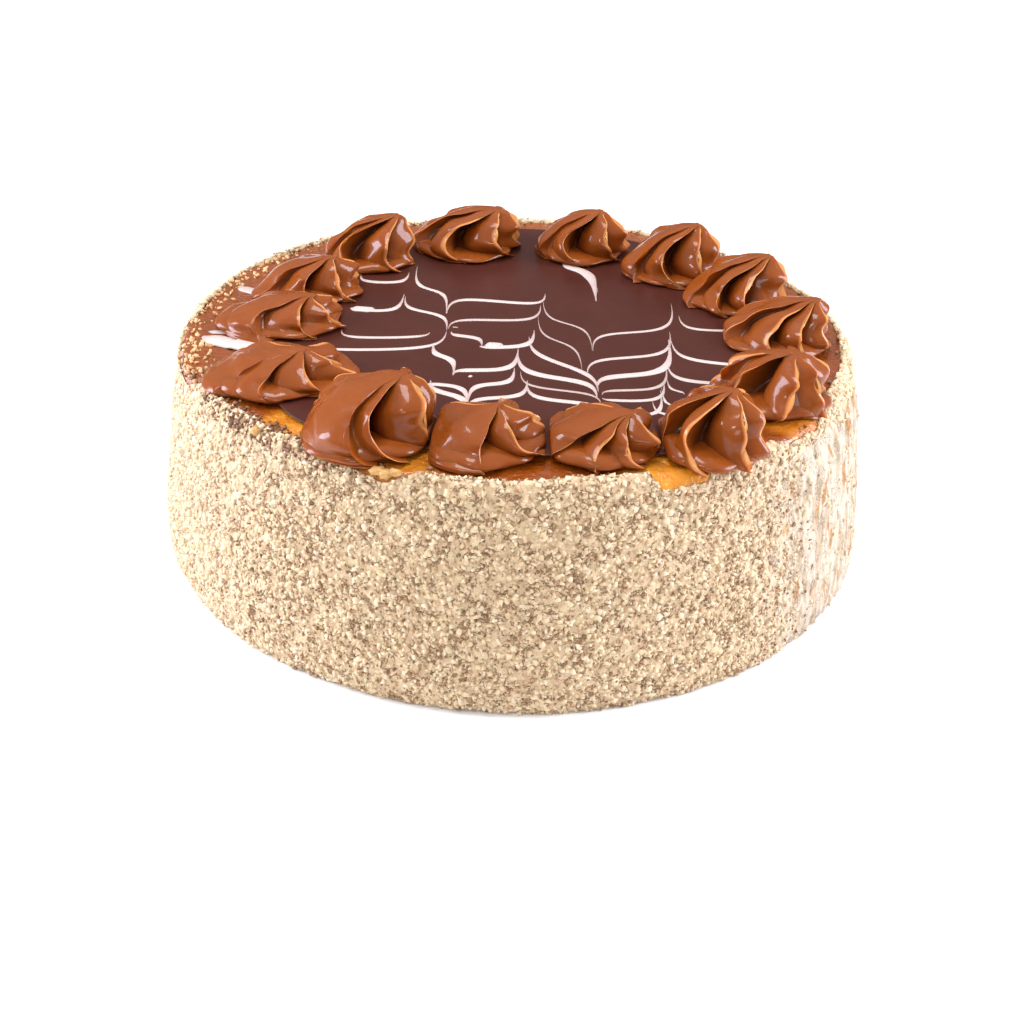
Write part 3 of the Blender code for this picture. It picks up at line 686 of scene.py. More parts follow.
def scatter_tree():
    """Scatter broken crumbs over a surface, each with its own size, turn, shape and shade"""
    inputs = GEOMETRY + typed("NodeSocketString", "Where") + typed("NodeSocketInt", "Seed")
    inputs += typed("NodeSocketFloat", "Crumbs per Area", "Smallest", "Largest")
    inputs += typed("NodeSocketFloat", "Flattest", "Brokenness", "Lift") + MATERIAL
    tree, given, result = new_tree("GeometryNodeTree", "scattered_crumbs", inputs, GEOMETRY)
    seed = given["Seed"]
    cover = named_number(tree, given["Where"])
    density = times(tree, cover, given["Crumbs per Area"])
    spread = put(
        tree,
        "GeometryNodeDistributePointsOnFaces",
        {"distribute_method": "RANDOM"},
        {"Mesh": given["Geometry"], "Density": density, "Seed": seed},
    )
    reach = (given["Smallest"], given["Largest"])
    size = random_number(tree, seed, *reach)
    turn = random_vector(tree, seed, 0.0, math.tau)
    flat = random_number(tree, maths(tree, "ADD", seed, 1.0), given["Flattest"], 1.0)
    narrow = random_number(tree, maths(tree, "ADD", seed, 3.0), NARROWEST_CRUMB, 1.0)
    thin = times(tree, size, flat)
    slim = times(tree, size, narrow)
    stretch = output_of(tree, "ShaderNodeCombineXYZ", {0: size, 1: slim, 2: thin})
    ball = {"Radius": 1.0, "Subdivisions": 1}
    chip = output_of(tree, "GeometryNodeMeshIcoSphere", ball)
    lift = times(tree, size, given["Lift"])
    rise = vector_math(tree, "SCALE", spread.outputs["Normal"], lift)
    crumbs = put(
        tree,
        "GeometryNodeInstanceOnPoints",
        (),
        {
            "Points": moved_by(tree, spread.outputs["Points"], rise),
            "Instance": chip,
            "Rotation": turn,
            "Scale": stretch,
        },
    ).outputs[0]
    for name, value in (
        ("shade", random_number(tree, maths(tree, "ADD", seed, 2.0), 0.0, 1.0)),
        ("crumb_size", random_number(tree, seed, *reach)),
    ):
        crumbs = put(
            tree,
            "GeometryNodeStoreNamedAttribute",
            {"data_type": "FLOAT", "domain": "INSTANCE"},
            {"Geometry": crumbs, "Name": name, "Value": value},
        ).outputs[0]
    real = output_of(tree, "GeometryNodeRealizeInstances", {"Geometry": crumbs})
    chipping = random_vector(tree, seed, -1.0, 1.0)
    amount = named_number(tree, "crumb_size")
    amount = times(tree, amount, given["Brokenness"])
    broken = moved_by(tree, real, vector_math(tree, "SCALE", chipping, amount))
    finish_tree(tree, broken, given["Material"], result)
    return tree


def icing_tree():
    """Turn drawn lines into flat beads of icing as wide as each point says"""
    inputs = GEOMETRY + typed("NodeSocketInt", "Sides") + typed("NodeSocketFloat", "Flatness")
    tree, given, result = new_tree(
        "GeometryNodeTree", "feathered_icing", inputs + MATERIAL, GEOMETRY
    )
    half_width = named_number(tree, "half_width")
    lines = {"Mesh": given["Geometry"]}
    drawn = output_of(tree, "GeometryNodeMeshToCurve", lines)
    feeds = {"Curve": drawn, "Radius": half_width}
    sized = output_of(tree, "GeometryNodeSetCurveRadius", feeds)
    feeds = {"Resolution": given["Sides"], "Radius": 1.0}
    bead = output_of(tree, "GeometryNodeCurvePrimitiveCircle", feeds)
    feeds = {"Curve": sized, "Profile Curve": bead, "Fill Caps": True}
    swept = put(tree, "GeometryNodeCurveToMesh", (), feeds)
    if "Scale" in swept.inputs:
        tree.links.new(half_width, swept.inputs["Scale"])
    place = output_of(tree, "GeometryNodeInputPosition")
    height = put(tree, "ShaderNodeSeparateXYZ", (), {0: place}).outputs[2]
    above = minus(tree, height, named_number(tree, "level"))
    squeeze = minus(tree, given["Flatness"], 1.0)
    drop = times(tree, above, squeeze)
    drop = output_of(tree, "ShaderNodeCombineXYZ", {2: drop})
    flat = moved_by(tree, swept.outputs[0], drop)
    smooth = output_of(tree, "GeometryNodeSetShadeSmooth", {"Geometry": flat})
    finish_tree(tree, smooth, given["Material"], result)
    return tree


def grain_group():
    """Shader group: patches and fine grain as one tone from 0 to 1, and the grain's height"""
    inputs = typed("NodeSocketFloat", "Patch Size", "Grain Size", "Grain Share")
    outputs = typed("NodeSocketFloat", "Tone", "Height")
    tree, given, result = new_tree("ShaderNodeTree", "patch_and_grain", inputs, outputs)
    place = put(tree, "ShaderNodeTexCoord").outputs["Object"]
    tones = []
    for size, detail in (("Patch Size", 2.0), ("Grain Size", 3.0)):
        scale = maths(tree, "DIVIDE", 1.0, given[size])
        tones.append(noise_value(tree, place, scale, detail))
    feeds = {0: given["Grain Share"], 2: tones[0], 3: tones[1]}
    mixed = output_of(tree, "ShaderNodeMix", feeds, {"data_type": "FLOAT"})
    feeds = {"Value": mixed, "From Min": 0.30, "From Max": 0.70}
    stretched = output_of(tree, "ShaderNodeMapRange", feeds)
    tree.links.new(stretched, result["Tone"])
    tree.links.new(tones[1], result["Height"])
    return tree


def blend_colours(tree, share, first, second):
    """One Mix node for colours, as the socket that holds the colour"""
    feeds = {0: share}
    for key, colour in ((6, first), (7, second)):
        feeds[key] = (*colour, 1.0) if isinstance(colour, tuple) else colour
    return put(tree, "ShaderNodeMix", {"data_type": "RGBA"}, feeds).outputs[2]


def start_material(name):
    """A material with nodes, its tree and its Principled shader"""
    material = bpy.data.materials.new(name)
    material.use_nodes = True
    tree = material.node_tree
    return material, tree, tree.nodes["Principled BSDF"]


def grained(tree, group, patch, grain, share):
    """The shared patch and grain group placed in a material with its own sizes"""
    feeds = {"Patch Size": patch, "Grain Size": grain, "Grain Share": share}
    return put(tree, "ShaderNodeGroup", {"node_tree": group}, feeds)


def finish_shader(tree, shader, colour, bump, values):
    """Feed the shader its colour and its bumps, and set its own sockets to fixed values"""
    height, strength, distance = bump
    feeds = {"Strength": strength, "Distance": distance, "Height": height}
    tree.links.new(colour, shader.inputs["Base Color"])
    tree.links.new(output_of(tree, "ShaderNodeBump", feeds), shader.inputs["Normal"])
    for name, value in values.items():
        shader.inputs[name].default_value = value


def light_inside(share, depths):
    """Settings that let some light in, to a depth for each of red, green and blue"""
    values = {"Weight": share, "Radius": depths, "Scale": 1.0}
    return {f"Subsurface {name}": value for name, value in values.items()}


def stored(tree, name):
    """The socket that reads one stored number inside a material"""
    return put(tree, "ShaderNodeAttribute", {"attribute_name": name}).outputs["Fac"]


def crumb_finish(group, name, light, dark, roughness):
    """Matt broken crumbs, each with its own shade between two colours"""
    material, tree, shader = start_material(name)
    grain = grained(tree, group, 3.2 * MM, 0.5 * MM, 0.3)
    tone = maths(tree, "MULTIPLY_ADD", grain.outputs["Tone"], 0.65, -0.10)
    tone = maths(tree, "MULTIPLY_ADD", stored(tree, "shade"), 0.55, tone)
    colour = blend_colours(tree, tone, dark, light)
    bump = (grain.outputs["Height"], 0.2, 0.2 * MM)
    finish_shader(tree, shader, colour, bump, {"Roughness": roughness})
    return material


def meal_group():
    """Shader group: pressed crumbs as cells with their own tone, painted shade in the crevices
    between them, and brown specks
    """
    inputs = typed("NodeSocketFloat", "Crumb Size", "Speck Share")
    outputs = typed("NodeSocketFloat", "Tone", "Specks and Crevice Shade", "Height")
    tree, given, result = new_tree("ShaderNodeTree", "pressed_meal", inputs, outputs)
    place = put(tree, "ShaderNodeTexCoord").outputs["Object"]
    scale = maths(tree, "DIVIDE", 1.0, given["Crumb Size"])
    stir = put(
        tree, "ShaderNodeTexNoise", (), {"Vector": place, "Scale": scale, "Detail": 2.0}
    ).outputs[1]
    stir = vector_math(tree, "SUBTRACT", stir, (0.5, 0.5, 0.5))
    amount = times(tree, given["Crumb Size"], 1.6)
    stirred = vector_math(tree, "ADD", place, vector_math(tree, "SCALE", stir, amount))
    feeds = {"Vector": stirred, "Scale": scale}
    cells = put(tree, "ShaderNodeTexVoronoi", (), feeds)
    edges = {"feature": "DISTANCE_TO_EDGE"}
    gaps = output_of(tree, "ShaderNodeTexVoronoi", feeds, edges)
    tone = put(tree, "ShaderNodeSeparateColor", (), {0: cells.outputs["Color"]})
    thin = noise_value(tree, place, times(tree, scale, 0.45), 2.0)
    # Painted shade along the crevices between the cells, open only here and there
    open_gap = times(tree, smooth_range(tree, thin, 0.47, 0.60), 0.20)
    crevice_shade = smooth_range(tree, gaps, 0.0, open_gap, 1.0, 0.0)
    chosen = maths(tree, "LESS_THAN", tone.outputs[1], given["Speck Share"])
    core = smooth_range(tree, cells.outputs["Distance"], 0.22, 0.42)
    core = minus(tree, 1.0, core)
    speck = times(tree, chosen, core)
    tree.links.new(tone.outputs[0], result["Tone"])
    tree.links.new(maths(tree, "MAXIMUM", crevice_shade, speck), result["Specks and Crevice Shade"])
    lump = minus(tree, 1.0, cells.outputs["Distance"])
    tree.links.new(lump, result["Height"])
    return tree


def coat_finish(group):
    """The bed that the crumbs stick to: pressed cream meal with brown specks and painted shade in
    its crevices and patches
    """
    material, tree, shader = start_material("crumb_bed")
    feeds = {"Crumb Size": BED_CRUMB_SIZE, "Speck Share": BED_SPECK_SHARE}
    meal = put(tree, "ShaderNodeGroup", {"node_tree": meal_group()}, feeds)
    grain = grained(tree, group, 3.2 * MM, 0.5 * MM, 0.3)
    colour = blend_colours(tree, meal.outputs["Tone"], COAT_PINK, COAT_LIGHT)
    # The bed shows only between the crumbs, so it is darkened toward the speck brown in the crumbs'
    # tone patches, as painted shade between them
    tone_and_shade_patches = maths(tree, "MULTIPLY_ADD", grain.outputs["Tone"], -0.45, 0.42)
    colour = blend_colours(tree, tone_and_shade_patches, colour, COAT_SPECK_AND_SHADE)
    # Brown specks and painted shade in the crevices of the meal
    specks_and_shade = times(tree, meal.outputs["Specks and Crevice Shade"], 0.9)
    colour = blend_colours(tree, specks_and_shade, colour, COAT_SPECK_AND_SHADE)
    place = put(tree, "ShaderNodeTexCoord").outputs["Object"]
    # The upright ribs: bands of painted shade between lighter cream, then brown streaks of their
    # own
    upright = vector_math(tree, "MULTIPLY", place, (1.0, 1.0, STREAK_SQUASH))
    streaks = noise_value(tree, upright, 1.0 / RIB_SIZE, 2.0)
    tall = vector_math(tree, "MULTIPLY", place, (1.0, 1.0, RIB_SQUASH))
    rib_shade_bands = noise_value(tree, tall, 1.8 / RIB_SIZE, 1.0)
    ribs = blend_colours(tree, smooth_range(tree, rib_shade_bands, 0.40, 0.54), RIB_PAINTED_SHADE, RIB_CREAM)
    ribs = blend_colours(tree, smooth_range(tree, streaks, 0.60, 0.65), ribs, RIB_BROWN)
    share = times(tree, stored(tree, "flutes"), 0.8)
    colour = blend_colours(tree, share, colour, ribs)
    height = minus(tree, meal.outputs["Height"], meal.outputs["Specks and Crevice Shade"])
    finish_shader(tree, shader, colour, (height, 0.6, 0.7 * MM), {"Roughness": 0.9})
    return material


def caramel_finish(group):
    """Glossy piped dulce de leche, with a painted highlight on its thin crests and painted shade in
    its hollows
    """
    material, tree, shader = start_material("piped_dulce_de_leche")
    grain = grained(tree, group, 9.0 * MM, 2.5 * MM, 0.35)
    crest = stored(tree, "crest")
    # Painted shade: the hollows darken toward the deep colour
    hollow_shaded = blend_colours(tree, smooth_range(tree, crest, 0.0, 0.55), CARAMEL_HOLLOW_SHADE, CARAMEL_MID)
    # Painted highlight along the thinnest crests
    edge = times(tree, smooth_range(tree, crest, 0.96, 1.0), 0.9)
    thin = blend_colours(tree, edge, hollow_shaded, CARAMEL_PATCH_AND_LIT_CREST)
    # Patches of lighter tone at random, the caramel's own
    patch = times(tree, grain.outputs["Tone"], 0.05)
    colour = blend_colours(tree, patch, thin, CARAMEL_PATCH_AND_LIT_CREST)
    values = light_inside(0.25, (3.0 * MM, 1.0 * MM, 0.4 * MM))
    values.update({"Roughness": 0.26, "Specular IOR Level": 0.10})
    values.update({"Coat Weight": 0.34, "Coat Roughness": 0.04})
    finish_shader(tree, shader, colour, (grain.outputs["Height"], 0.2, 0.8 * MM), values)
    return material


def amber_finish(group):
    """The bare sheet of dulce de leche, brown where it lies thick and amber where it is thin"""
    material, tree, shader = start_material("bare_dulce_de_leche")
    grain = grained(tree, group, 6.0 * MM, 1.8 * MM, 0.4)
    amber = blend_colours(tree, grain.outputs["Tone"], AMBER_DEEP, AMBER_LIGHT)
    thin = smooth_range(tree, stored(tree, "amber"), 0.1, 0.9)
    colour = blend_colours(tree, thin, SHEET_BROWN, amber)
    values = light_inside(0.3, (4.0 * MM, 1.5 * MM, 0.4 * MM))
    values.update({"Roughness": 0.12, "Specular IOR Level": 0.3})
    values.update({"Coat Weight": 0.38, "Coat Roughness": 0.04})
    finish_shader(tree, shader, colour, (grain.outputs["Height"], 0.7, 1.2 * MM), values)
    return material


def chocolate_finish(group):
    """Satin chocolate glaze, faintly streaked along the drags of the skewer"""
    material, tree, shader = start_material("chocolate_glaze_finish")
    grain = grained(tree, group, 22.0 * MM, 3.0 * MM, 0.25)
    colour = blend_colours(tree, grain.outputs["Tone"], CHOCOLATE_DEEP, CHOCOLATE_LIGHT)
    values = {"Roughness": 0.36, "Specular IOR Level": 0.14}
    finish_shader(tree, shader, colour, (grain.outputs["Height"], 0.12, 0.4 * MM), values)
    return material


def icing_finish(group):
    """White icing that thins out and takes the chocolate's colour where it was dragged"""
    material, tree, shader = start_material("white_icing_finish")
    grain = grained(tree, group, 3.0 * MM, 0.8 * MM, 0.4)
    white = blend_colours(tree, stored(tree, "white"), ICING_FADED, ICING_WHITE)
    veil = times(tree, grain.outputs["Tone"], 0.15)
    colour = blend_colours(tree, veil, white, ICING_FADED)
    values = {"Roughness": 0.35, **light_inside(0.15, (1.0 * MM, 0.6 * MM, 0.5 * MM))}
    finish_shader(tree, shader, colour, (grain.outputs["Height"], 0.15, 0.2 * MM), values)
    return material


def stacked_rings(profile, azimuths):
    """Level rings from pairs of radius and height: their radii, their heights and their points"""
    rows = [[np.broadcast_to(value, azimuths.shape) for value in pair] for pair in profile]
    radii, heights = np.array(rows).transpose(1, 0, 2)
    points = (radii * np.cos(azimuths), radii * np.sin(azimuths), heights)
    return radii, heights, np.stack(points, axis=-1)


def coat_piece():
    """The bed of the crumb coat as one closed skin, with marks for where crumbs and flutes go"""
    azimuths = np.linspace(0.0, math.tau, COAT_STEPS, endpoint=False)
    edge = crumb_edge(azimuths)
    profile = [(SIDE_RADIUS - 3.4 * MM, 0.1 * MM)]
    for height in np.linspace(0.6 * MM, SIDE_TOP_HEIGHT, SIDE_RINGS):
        profile.append((side_radius(height) - COAT_INSET, height))
    for share in np.linspace(0.0, 1.0, SHOULDER_RINGS + 1)[1:]:
        radius = SIDE_TOP_RADIUS - COAT_INSET + (edge - SIDE_TOP_RADIUS + COAT_INSET) * share
        fall = shoulder_height(radius + COAT_INSET * (1.0 - share)) - 0.3 * MM * share
        profile.append((radius, np.minimum(fall, RIM_LEVEL - 0.3 * MM)))
    profile.append((edge - 0.2 * MM, CARAMEL_FLOOR + 1.0 * MM))
    profile.append((edge - 0.3 * MM, SEAT_HEIGHT))
    radii, heights, rings = stacked_rings(profile, azimuths)
    piece = skin("crumb_coat", rings, (0.0, 0.0, 0.1 * MM), (0.0, 0.0, SEAT_HEIGHT))
    levels = np.arange(len(radii))[:, None] * np.ones_like(azimuths)
    coat = (levels >= 1) & (levels < len(radii) - 2)
    right_turn = turn_between(azimuths, FRONT)
    side_turn = np.abs(right_turn)
    flutes = smooth_step(*RIBS_START, right_turn) * (1.0 - smooth_step(*RIBS_END, right_turn))
    flutes = coat * flutes * (heights < SIDE_TOP_HEIGHT + 1.0 * MM)
    # Crumbs on the wet rim are dark: soaked, and painted shadow under the crumb edge
    wet_and_shadow = 1.0 - smooth_step(12.0, 28.0, np.abs(turn_between(azimuths, WET_AND_SHADOW_RIM)))
    behind = smooth_step(*SPECKS_BACK, side_turn)
    facing = 1.0 - smooth_step(*SPECKS_FEWER, side_turn) * (1.0 - 0.5 * behind)
    mark_rings(piece, "coat", coat)
    mark_rings(piece, "flutes", flutes)
    mark_rings(piece, "cover", coat * (1.0 - BARE_RIBS * flutes))
    mark_rings(piece, "wet_and_shadow_rim", coat * wet_and_shadow * smooth_step(61.0 * MM, 63.5 * MM, heights))
    mark_rings(piece, "specks", coat * facing)
    return piece


def crumb_pieces(coat, sheet, group):
    """Scatter every kind of crumb over coat and sheet, kept inside the cake's reach"""
    tree = scatter_tree()
    pieces = []
    for number, kind in enumerate(CRUMB_KINDS):
        ground = sheet if kind.where in ("soaked_and_shadow_edge", "spilt") else coat
        piece = shown(kind.name, ground.data.copy())
        sizes = {
            "Where": kind.where,
            "Crumbs per Area": kind.count / COVERED_AREAS[kind.where],
            "Seed": SEED + 10 * number,
            "Smallest": kind.smallest * MM,
            "Largest": kind.largest * MM,
            "Flattest": kind.flattest,
            "Brokenness": kind.brokenness,
            "Lift": kind.lift,
            "Material": crumb_finish(group, *kind.finish),
        }
        grow(piece, tree, sizes)
        piece.data.shade_smooth()
        keep_inside(piece)
        pieces.append(piece)
    return pieces


def keep_inside(piece):
    """Press points back that pass the cake's widest reach or the floor"""
    mesh = piece.data
    points = np.empty(len(mesh.vertices) * 3, np.float32)
    mesh.vertices.foreach_get("co", points)
    points = points.reshape(-1, 3)
    radii = np.hypot(points[:, 0], points[:, 1])
    factor = np.minimum(1.0, REACH_LIMIT / np.maximum(radii, 1.0 * MM))
    points[:, :2] *= factor[:, None]
    points[:, 2] = np.maximum(points[:, 2], 0.05 * MM)
    mesh.vertices.foreach_set("co", points.ravel())
    mesh.update()


def nut_piece(material):
    """The larger pieces of nut pressed into the edge of the crumbs, with uneven skins"""
    shaping = bmesh.new()
    for nut in NUT_PIECES:
        turn = math.radians(nut.azimuth)
        x, y = nut.radius * math.cos(turn), nut.radius * math.sin(turn)
        place = Matrix.Translation((x, y, float(shoulder_height(nut.radius))))
        place = place @ Matrix.Rotation(turn, 4, "Z")
        made = bmesh.ops.create_icosphere(shaping, subdivisions=3, radius=0.5)
        for point in made["verts"]:
            co = point.co
            swell = noise.noise(5.0 * co + Vector((nut.azimuth, 0.0, 0.0)))
            shape = Vector((co.x * nut.width, co.y * nut.length, co.z * nut.height))
            point.co = place @ ((1.0 + NUT_ROUGHNESS * swell) * shape)
    mesh = bpy.data.meshes.new("nut_pieces")
    shaping.to_mesh(mesh)
    shaping.free()
    mesh.shade_smooth()
    piece = shown("nut_pieces", mesh)
    mark_points(piece, "shade", np.full(len(mesh.vertices), 0.6))
    mesh.materials.append(material)
    return piece


def sheet_level(x, y):
    """Height of the smeared sheet of dulce de leche at a place in plan"""
    radius = math.hypot(x, y)
    level = min(CARAMEL_TOP, float(shoulder_height(radius)) - 0.2 * MM)
    level = max(level, CARAMEL_FLOOR + 0.6 * MM)
    smear = noise.noise(Vector((x, y, 0.0)) / SMEAR_SIZE)
    return level - SMEAR_DEPTH * (0.5 + 0.5 * smear) * (radius > SMEAR_START)


def sheet_piece(material):
    """The sheet of dulce de leche between glaze and crumbs, sagging over the shoulder where bare"""
    azimuths = np.linspace(0.0, math.tau, SHEET_STEPS, endpoint=False)
    edge = crumb_edge(azimuths) - FIT_GAP
    profile = [(SHEET_FOOT, CARAMEL_FLOOR), (edge, CARAMEL_FLOOR)]
    for share in np.linspace(1.0, 0.0, SHEET_RINGS):
        profile.append((SHEET_INNER + share * (edge - SHEET_INNER), CARAMEL_TOP))
    radii, heights, rings = stacked_rings(profile, azimuths)
    for ring in rings[2:]:
        for point in ring:
            point[2] = sheet_level(point[0], point[1])
    piece = skin("caramel_sheet", rings, (0.0, 0.0, CARAMEL_FLOOR), (0.0, 0.0, CARAMEL_TOP))
    spilt = 1.0 - smooth_step(22.0, 46.0, np.abs(turn_between(azimuths, SPILT_RIM)))
    beyond = smooth_step(91.0 * MM, 97.0 * MM, radii)
    near = smooth_step(-3.5 * MM, -0.5 * MM, radii - edge)
    beyond[:3] = near[:3] = 0.0
    # Soaked crumbs near the edge, most at the wet rim, also stand for painted shadow there
    wet_and_shadow = 1.0 - 0.92 * smooth_step(16.0, 30.0, np.abs(turn_between(azimuths, WET_AND_SHADOW_RIM)))
    mark_rings(piece, "amber", np.broadcast_to(spot_sum(azimuths, AMBER_SPOTS), radii.shape))
    mark_rings(piece, "spilt", spilt * beyond)
    mark_rings(piece, "soaked_and_shadow_edge", near * wet_and_shadow)
    piece.data.materials.append(material)
    return piece


def glaze_piece(material):
    """The disc of chocolate glaze with a rounded, slightly wavering edge"""
    azimuths = np.linspace(0.0, math.tau, GLAZE_STEPS, endpoint=False)
    edge = glaze_edge(azimuths)
    thickness = GLAZE_TOP - GLAZE_FLOOR
    profile = [(edge - 0.5 * MM, GLAZE_FLOOR)]
    for lean in np.linspace(-60.0, 90.0, 11):
        turn = math.radians(lean)
        height = GLAZE_FLOOR + thickness * (0.5 + 0.5 * math.sin(turn))
        profile.append((edge - thickness + thickness * math.cos(turn), height))
    for share in (0.97, 0.85, 0.70, 0.50, 0.30):
        profile.append((share * edge, GLAZE_TOP))
    rings = stacked_rings(profile, azimuths)[2]
    piece = skin("glaze", rings, (0.0, 0.0, GLAZE_FLOOR), (0.0, 0.0, GLAZE_TOP))
    piece.data.materials.append(material)
    return piece


def span_line(span):
    """Plan points of one icing line, its half widths and its whiteness, in metres"""
    way = np.linspace(0.0, 1.0, SPAN_STEPS)
    across = smooth_step(0.0, 1.0, way)
    level = span.level0 + (span.level1 - span.level0) * way
    x = span.x0 + (span.x1 - span.x0) * across
    y = level + (span.y0 - span.level0) * np.exp(-way / SPAN_TURN)
    y = y + (span.y1 - span.level1) * np.exp((way - 1.0) / SPAN_TURN)
    body = smooth_step(0.02, 0.30, way) * (1.0 - smooth_step(0.72, 0.99, way))
    half_width = 0.5 * span.width * (THIN_SHARE + (1.0 - THIN_SHARE) * body)
    ends = smooth_step(0.0, 0.06, way) * (1.0 - smooth_step(0.94, 1.0, way))
    white = span.white * (0.55 + 0.45 * body)
    return x * MM, y * MM, half_width * (0.35 + 0.65 * ends) * MM, white


def icing_piece(material):
    """Every line of white icing as one piece, flat beads that stand just proud of the glaze"""
    points, edges, half_widths, whites = [], [], [], []
    for span in (*FEATHER_SPANS, *RIM_SPANS):
        x, y, half_width, white = span_line(span)
        on_rim = span in RIM_SPANS
        keep = on_rim | (np.hypot(x, y) < ICING_LIMIT)
        start = len(points)
        for px, py in zip(x[keep], y[keep]):
            level = sheet_level(px, py) + RIM_ICING_LIFT if on_rim else GLAZE_TOP
            points.append((px, py, level))
        edges += [(i, i + 1) for i in range(start, len(points) - 1)]
        half_widths += list(half_width[keep])
        whites += list(white[keep])
    mesh = bpy.data.meshes.new("feather_lines")
    mesh.from_pydata(points, edges, [])
    piece = shown("feather_lines", mesh)
    mark_points(piece, "half_width", half_widths)
    mark_points(piece, "white", whites)
    mark_points(piece, "level", [point[2] for point in points])
    sizes = {"Sides": BEAD_SIDES, "Flatness": ICING_FLATNESS, "Material": material}
    return grow(piece, icing_tree(), sizes)


def crest_azimuth(fold, climb):
    """Azimuth of a crest in radians on its way from the foot to the tip"""
    low = fold.foot * (1.0 - climb) * (1.0 - 2.0 * climb)
    middle = fold.middle * 4.0 * climb * (1.0 - climb)
    high = fold.top * climb * (2.0 * climb - 1.0)
    return np.radians(low + middle + high)


def hollow_share(share, fall):
    """How deep the skin lies between two round crests, not yet scaled to come up to 1"""
    rise = 1.0 - np.exp(-((share / CREST_WIDTH) ** 2))
    return rise * (1.0 - np.exp(-(((1.0 - share) / fall) ** 2)))


def leaned(rosette, radius, azimuth, drift):
    """Plan of points round a rosette, moved by a drift in the direction that it leans"""
    toward = math.radians(rosette.toward)
    x = rosette.x + radius * np.cos(azimuth) * rosette.stretch + drift * math.cos(toward)
    return x, rosette.y + radius * np.sin(azimuth) + drift * math.sin(toward)


def piped_points(rosette, number, share, climb):
    """Points of one fold's skin and how near they are to a crest.

    share runs from one crest to the next and climb from base to tip. Past each crest the skin drops
    into a hollow that lies a little under that crest, and swells up again to the next crest.
    """
    fold = rosette.folds[number]
    after = rosette.folds[(number + 1) % len(rosette.folds)]
    turns = math.tau if number + 1 == len(rosette.folds) else 0.0
    start = crest_azimuth(fold, climb)
    span = crest_azimuth(after, climb) + turns - start
    fall = LOBE_FALL + (BOWL_FALL - LOBE_FALL) * fold.bowl
    hollow = hollow_share(share, fall) / hollow_share(np.linspace(0.0, 1.0, 101), fall).max()
    side = climb * math.pi / 2.0
    rim = np.cos(side) ** (DOME_ROUNDING + (BLUNT_ROUNDING - DOME_ROUNDING) * rosette.blunt)
    rim = rim * (1.0 - TIP_NARROWING * (1.0 - rosette.blunt) * smooth_step(0.50, 0.92, climb))
    rise = np.sin(side) ** DOME_RISE
    tuck = BASE_TUCK * (1.0 - smooth_step(0.0, TUCK_HEIGHT, climb))
    tuck = tuck - FLARE * np.exp(-climb / FLARE_HEIGHT)
    depth = fold.depth * np.minimum(span / FOLD_SPAN + 0.25, 1.1)
    depth = depth * (FOLD_BASE_DEPTH + (1.0 - FOLD_BASE_DEPTH) * smooth_step(0.0, 0.40, climb))
    depth = depth * (1.0 - TIP_CLOSING * smooth_step(0.68, 0.95, climb))
    radius = rosette.radius * rim * (1.0 - tuck) * (1.0 - depth * hollow)
    under = OVERHANG * (fold.depth / 0.6) * np.minimum(span, FOLD_SPAN) * hollow
    under = under * np.sin(math.pi * climb) ** CURL_RISE
    azimuth = start + share * span - under
    slack = np.sin(3.0 * azimuth + 140.0 * rosette.x)
    slack = slack * np.sin(2.0 * math.pi * climb + 90.0 * rosette.y)
    lip = np.sin(15.0 * climb + fold.foot) * (1.0 - hollow) ** 2
    radius = radius * (1.0 + SLACK * slack + LIP_WAVE * lip)
    hook = TIP_HOOK * (1.0 - 0.7 * rosette.blunt) * smooth_step(0.80, 1.0, climb)
    drift = rosette.lean * (rise * rise - BASE_SHIFT) + hook
    x, y = leaned(rosette, radius, azimuth, drift)
    z = ROSETTE_BASE + rosette.height * rise
    shallow = np.minimum(depth / 0.4, 1.0)
    crest = (1.0 - hollow * shallow) * (0.8 + 0.2 * shallow)
    return np.stack([x, y, z], axis=-1), crest


def slumped(points, rosette):
    """Let the skin of a rosette sag unevenly, most of all half way up"""
    flat = points.reshape(-1, 3)
    moves = np.array([noise.noise_vector(Vector(point) / SLUMP_SIZE) for point in flat])
    rise = np.clip((flat[:, 2] - ROSETTE_BASE) / rosette.height, 0.0, 1.0)
    weight = smooth_step(0.02, 0.25, rise) * (1.0 - 0.7 * smooth_step(0.75, 1.0, rise))
    moves[:, 2] *= 0.5
    return (flat + SLUMP_DEPTH * weight[:, None] * moves).reshape(points.shape)


def coil_points(rosette, azimuths):
    """Rings of the first flat turn, a little uneven all the way round"""
    rings = []
    start = 200.0 * rosette.x + 130.0 * rosette.y
    for share, height in COIL_PROFILE:
        waver = 0.05 * np.sin(3.0 * azimuths + start)
        waver = waver + 0.03 * np.sin(8.0 * azimuths + start + 2.0 * height)
        radius = rosette.radius * (share + waver * smooth_step(0.0, 0.2, height))
        x, y = leaned(rosette, radius, azimuths, -BASE_SHIFT * rosette.lean)
        swell = 1.0 + 0.25 * np.sin(2.0 * azimuths - start)
        rings.append(np.stack((x, y, ROSETTE_BASE + COIL_HEIGHT * height * swell), axis=-1))
    return np.array(rings)


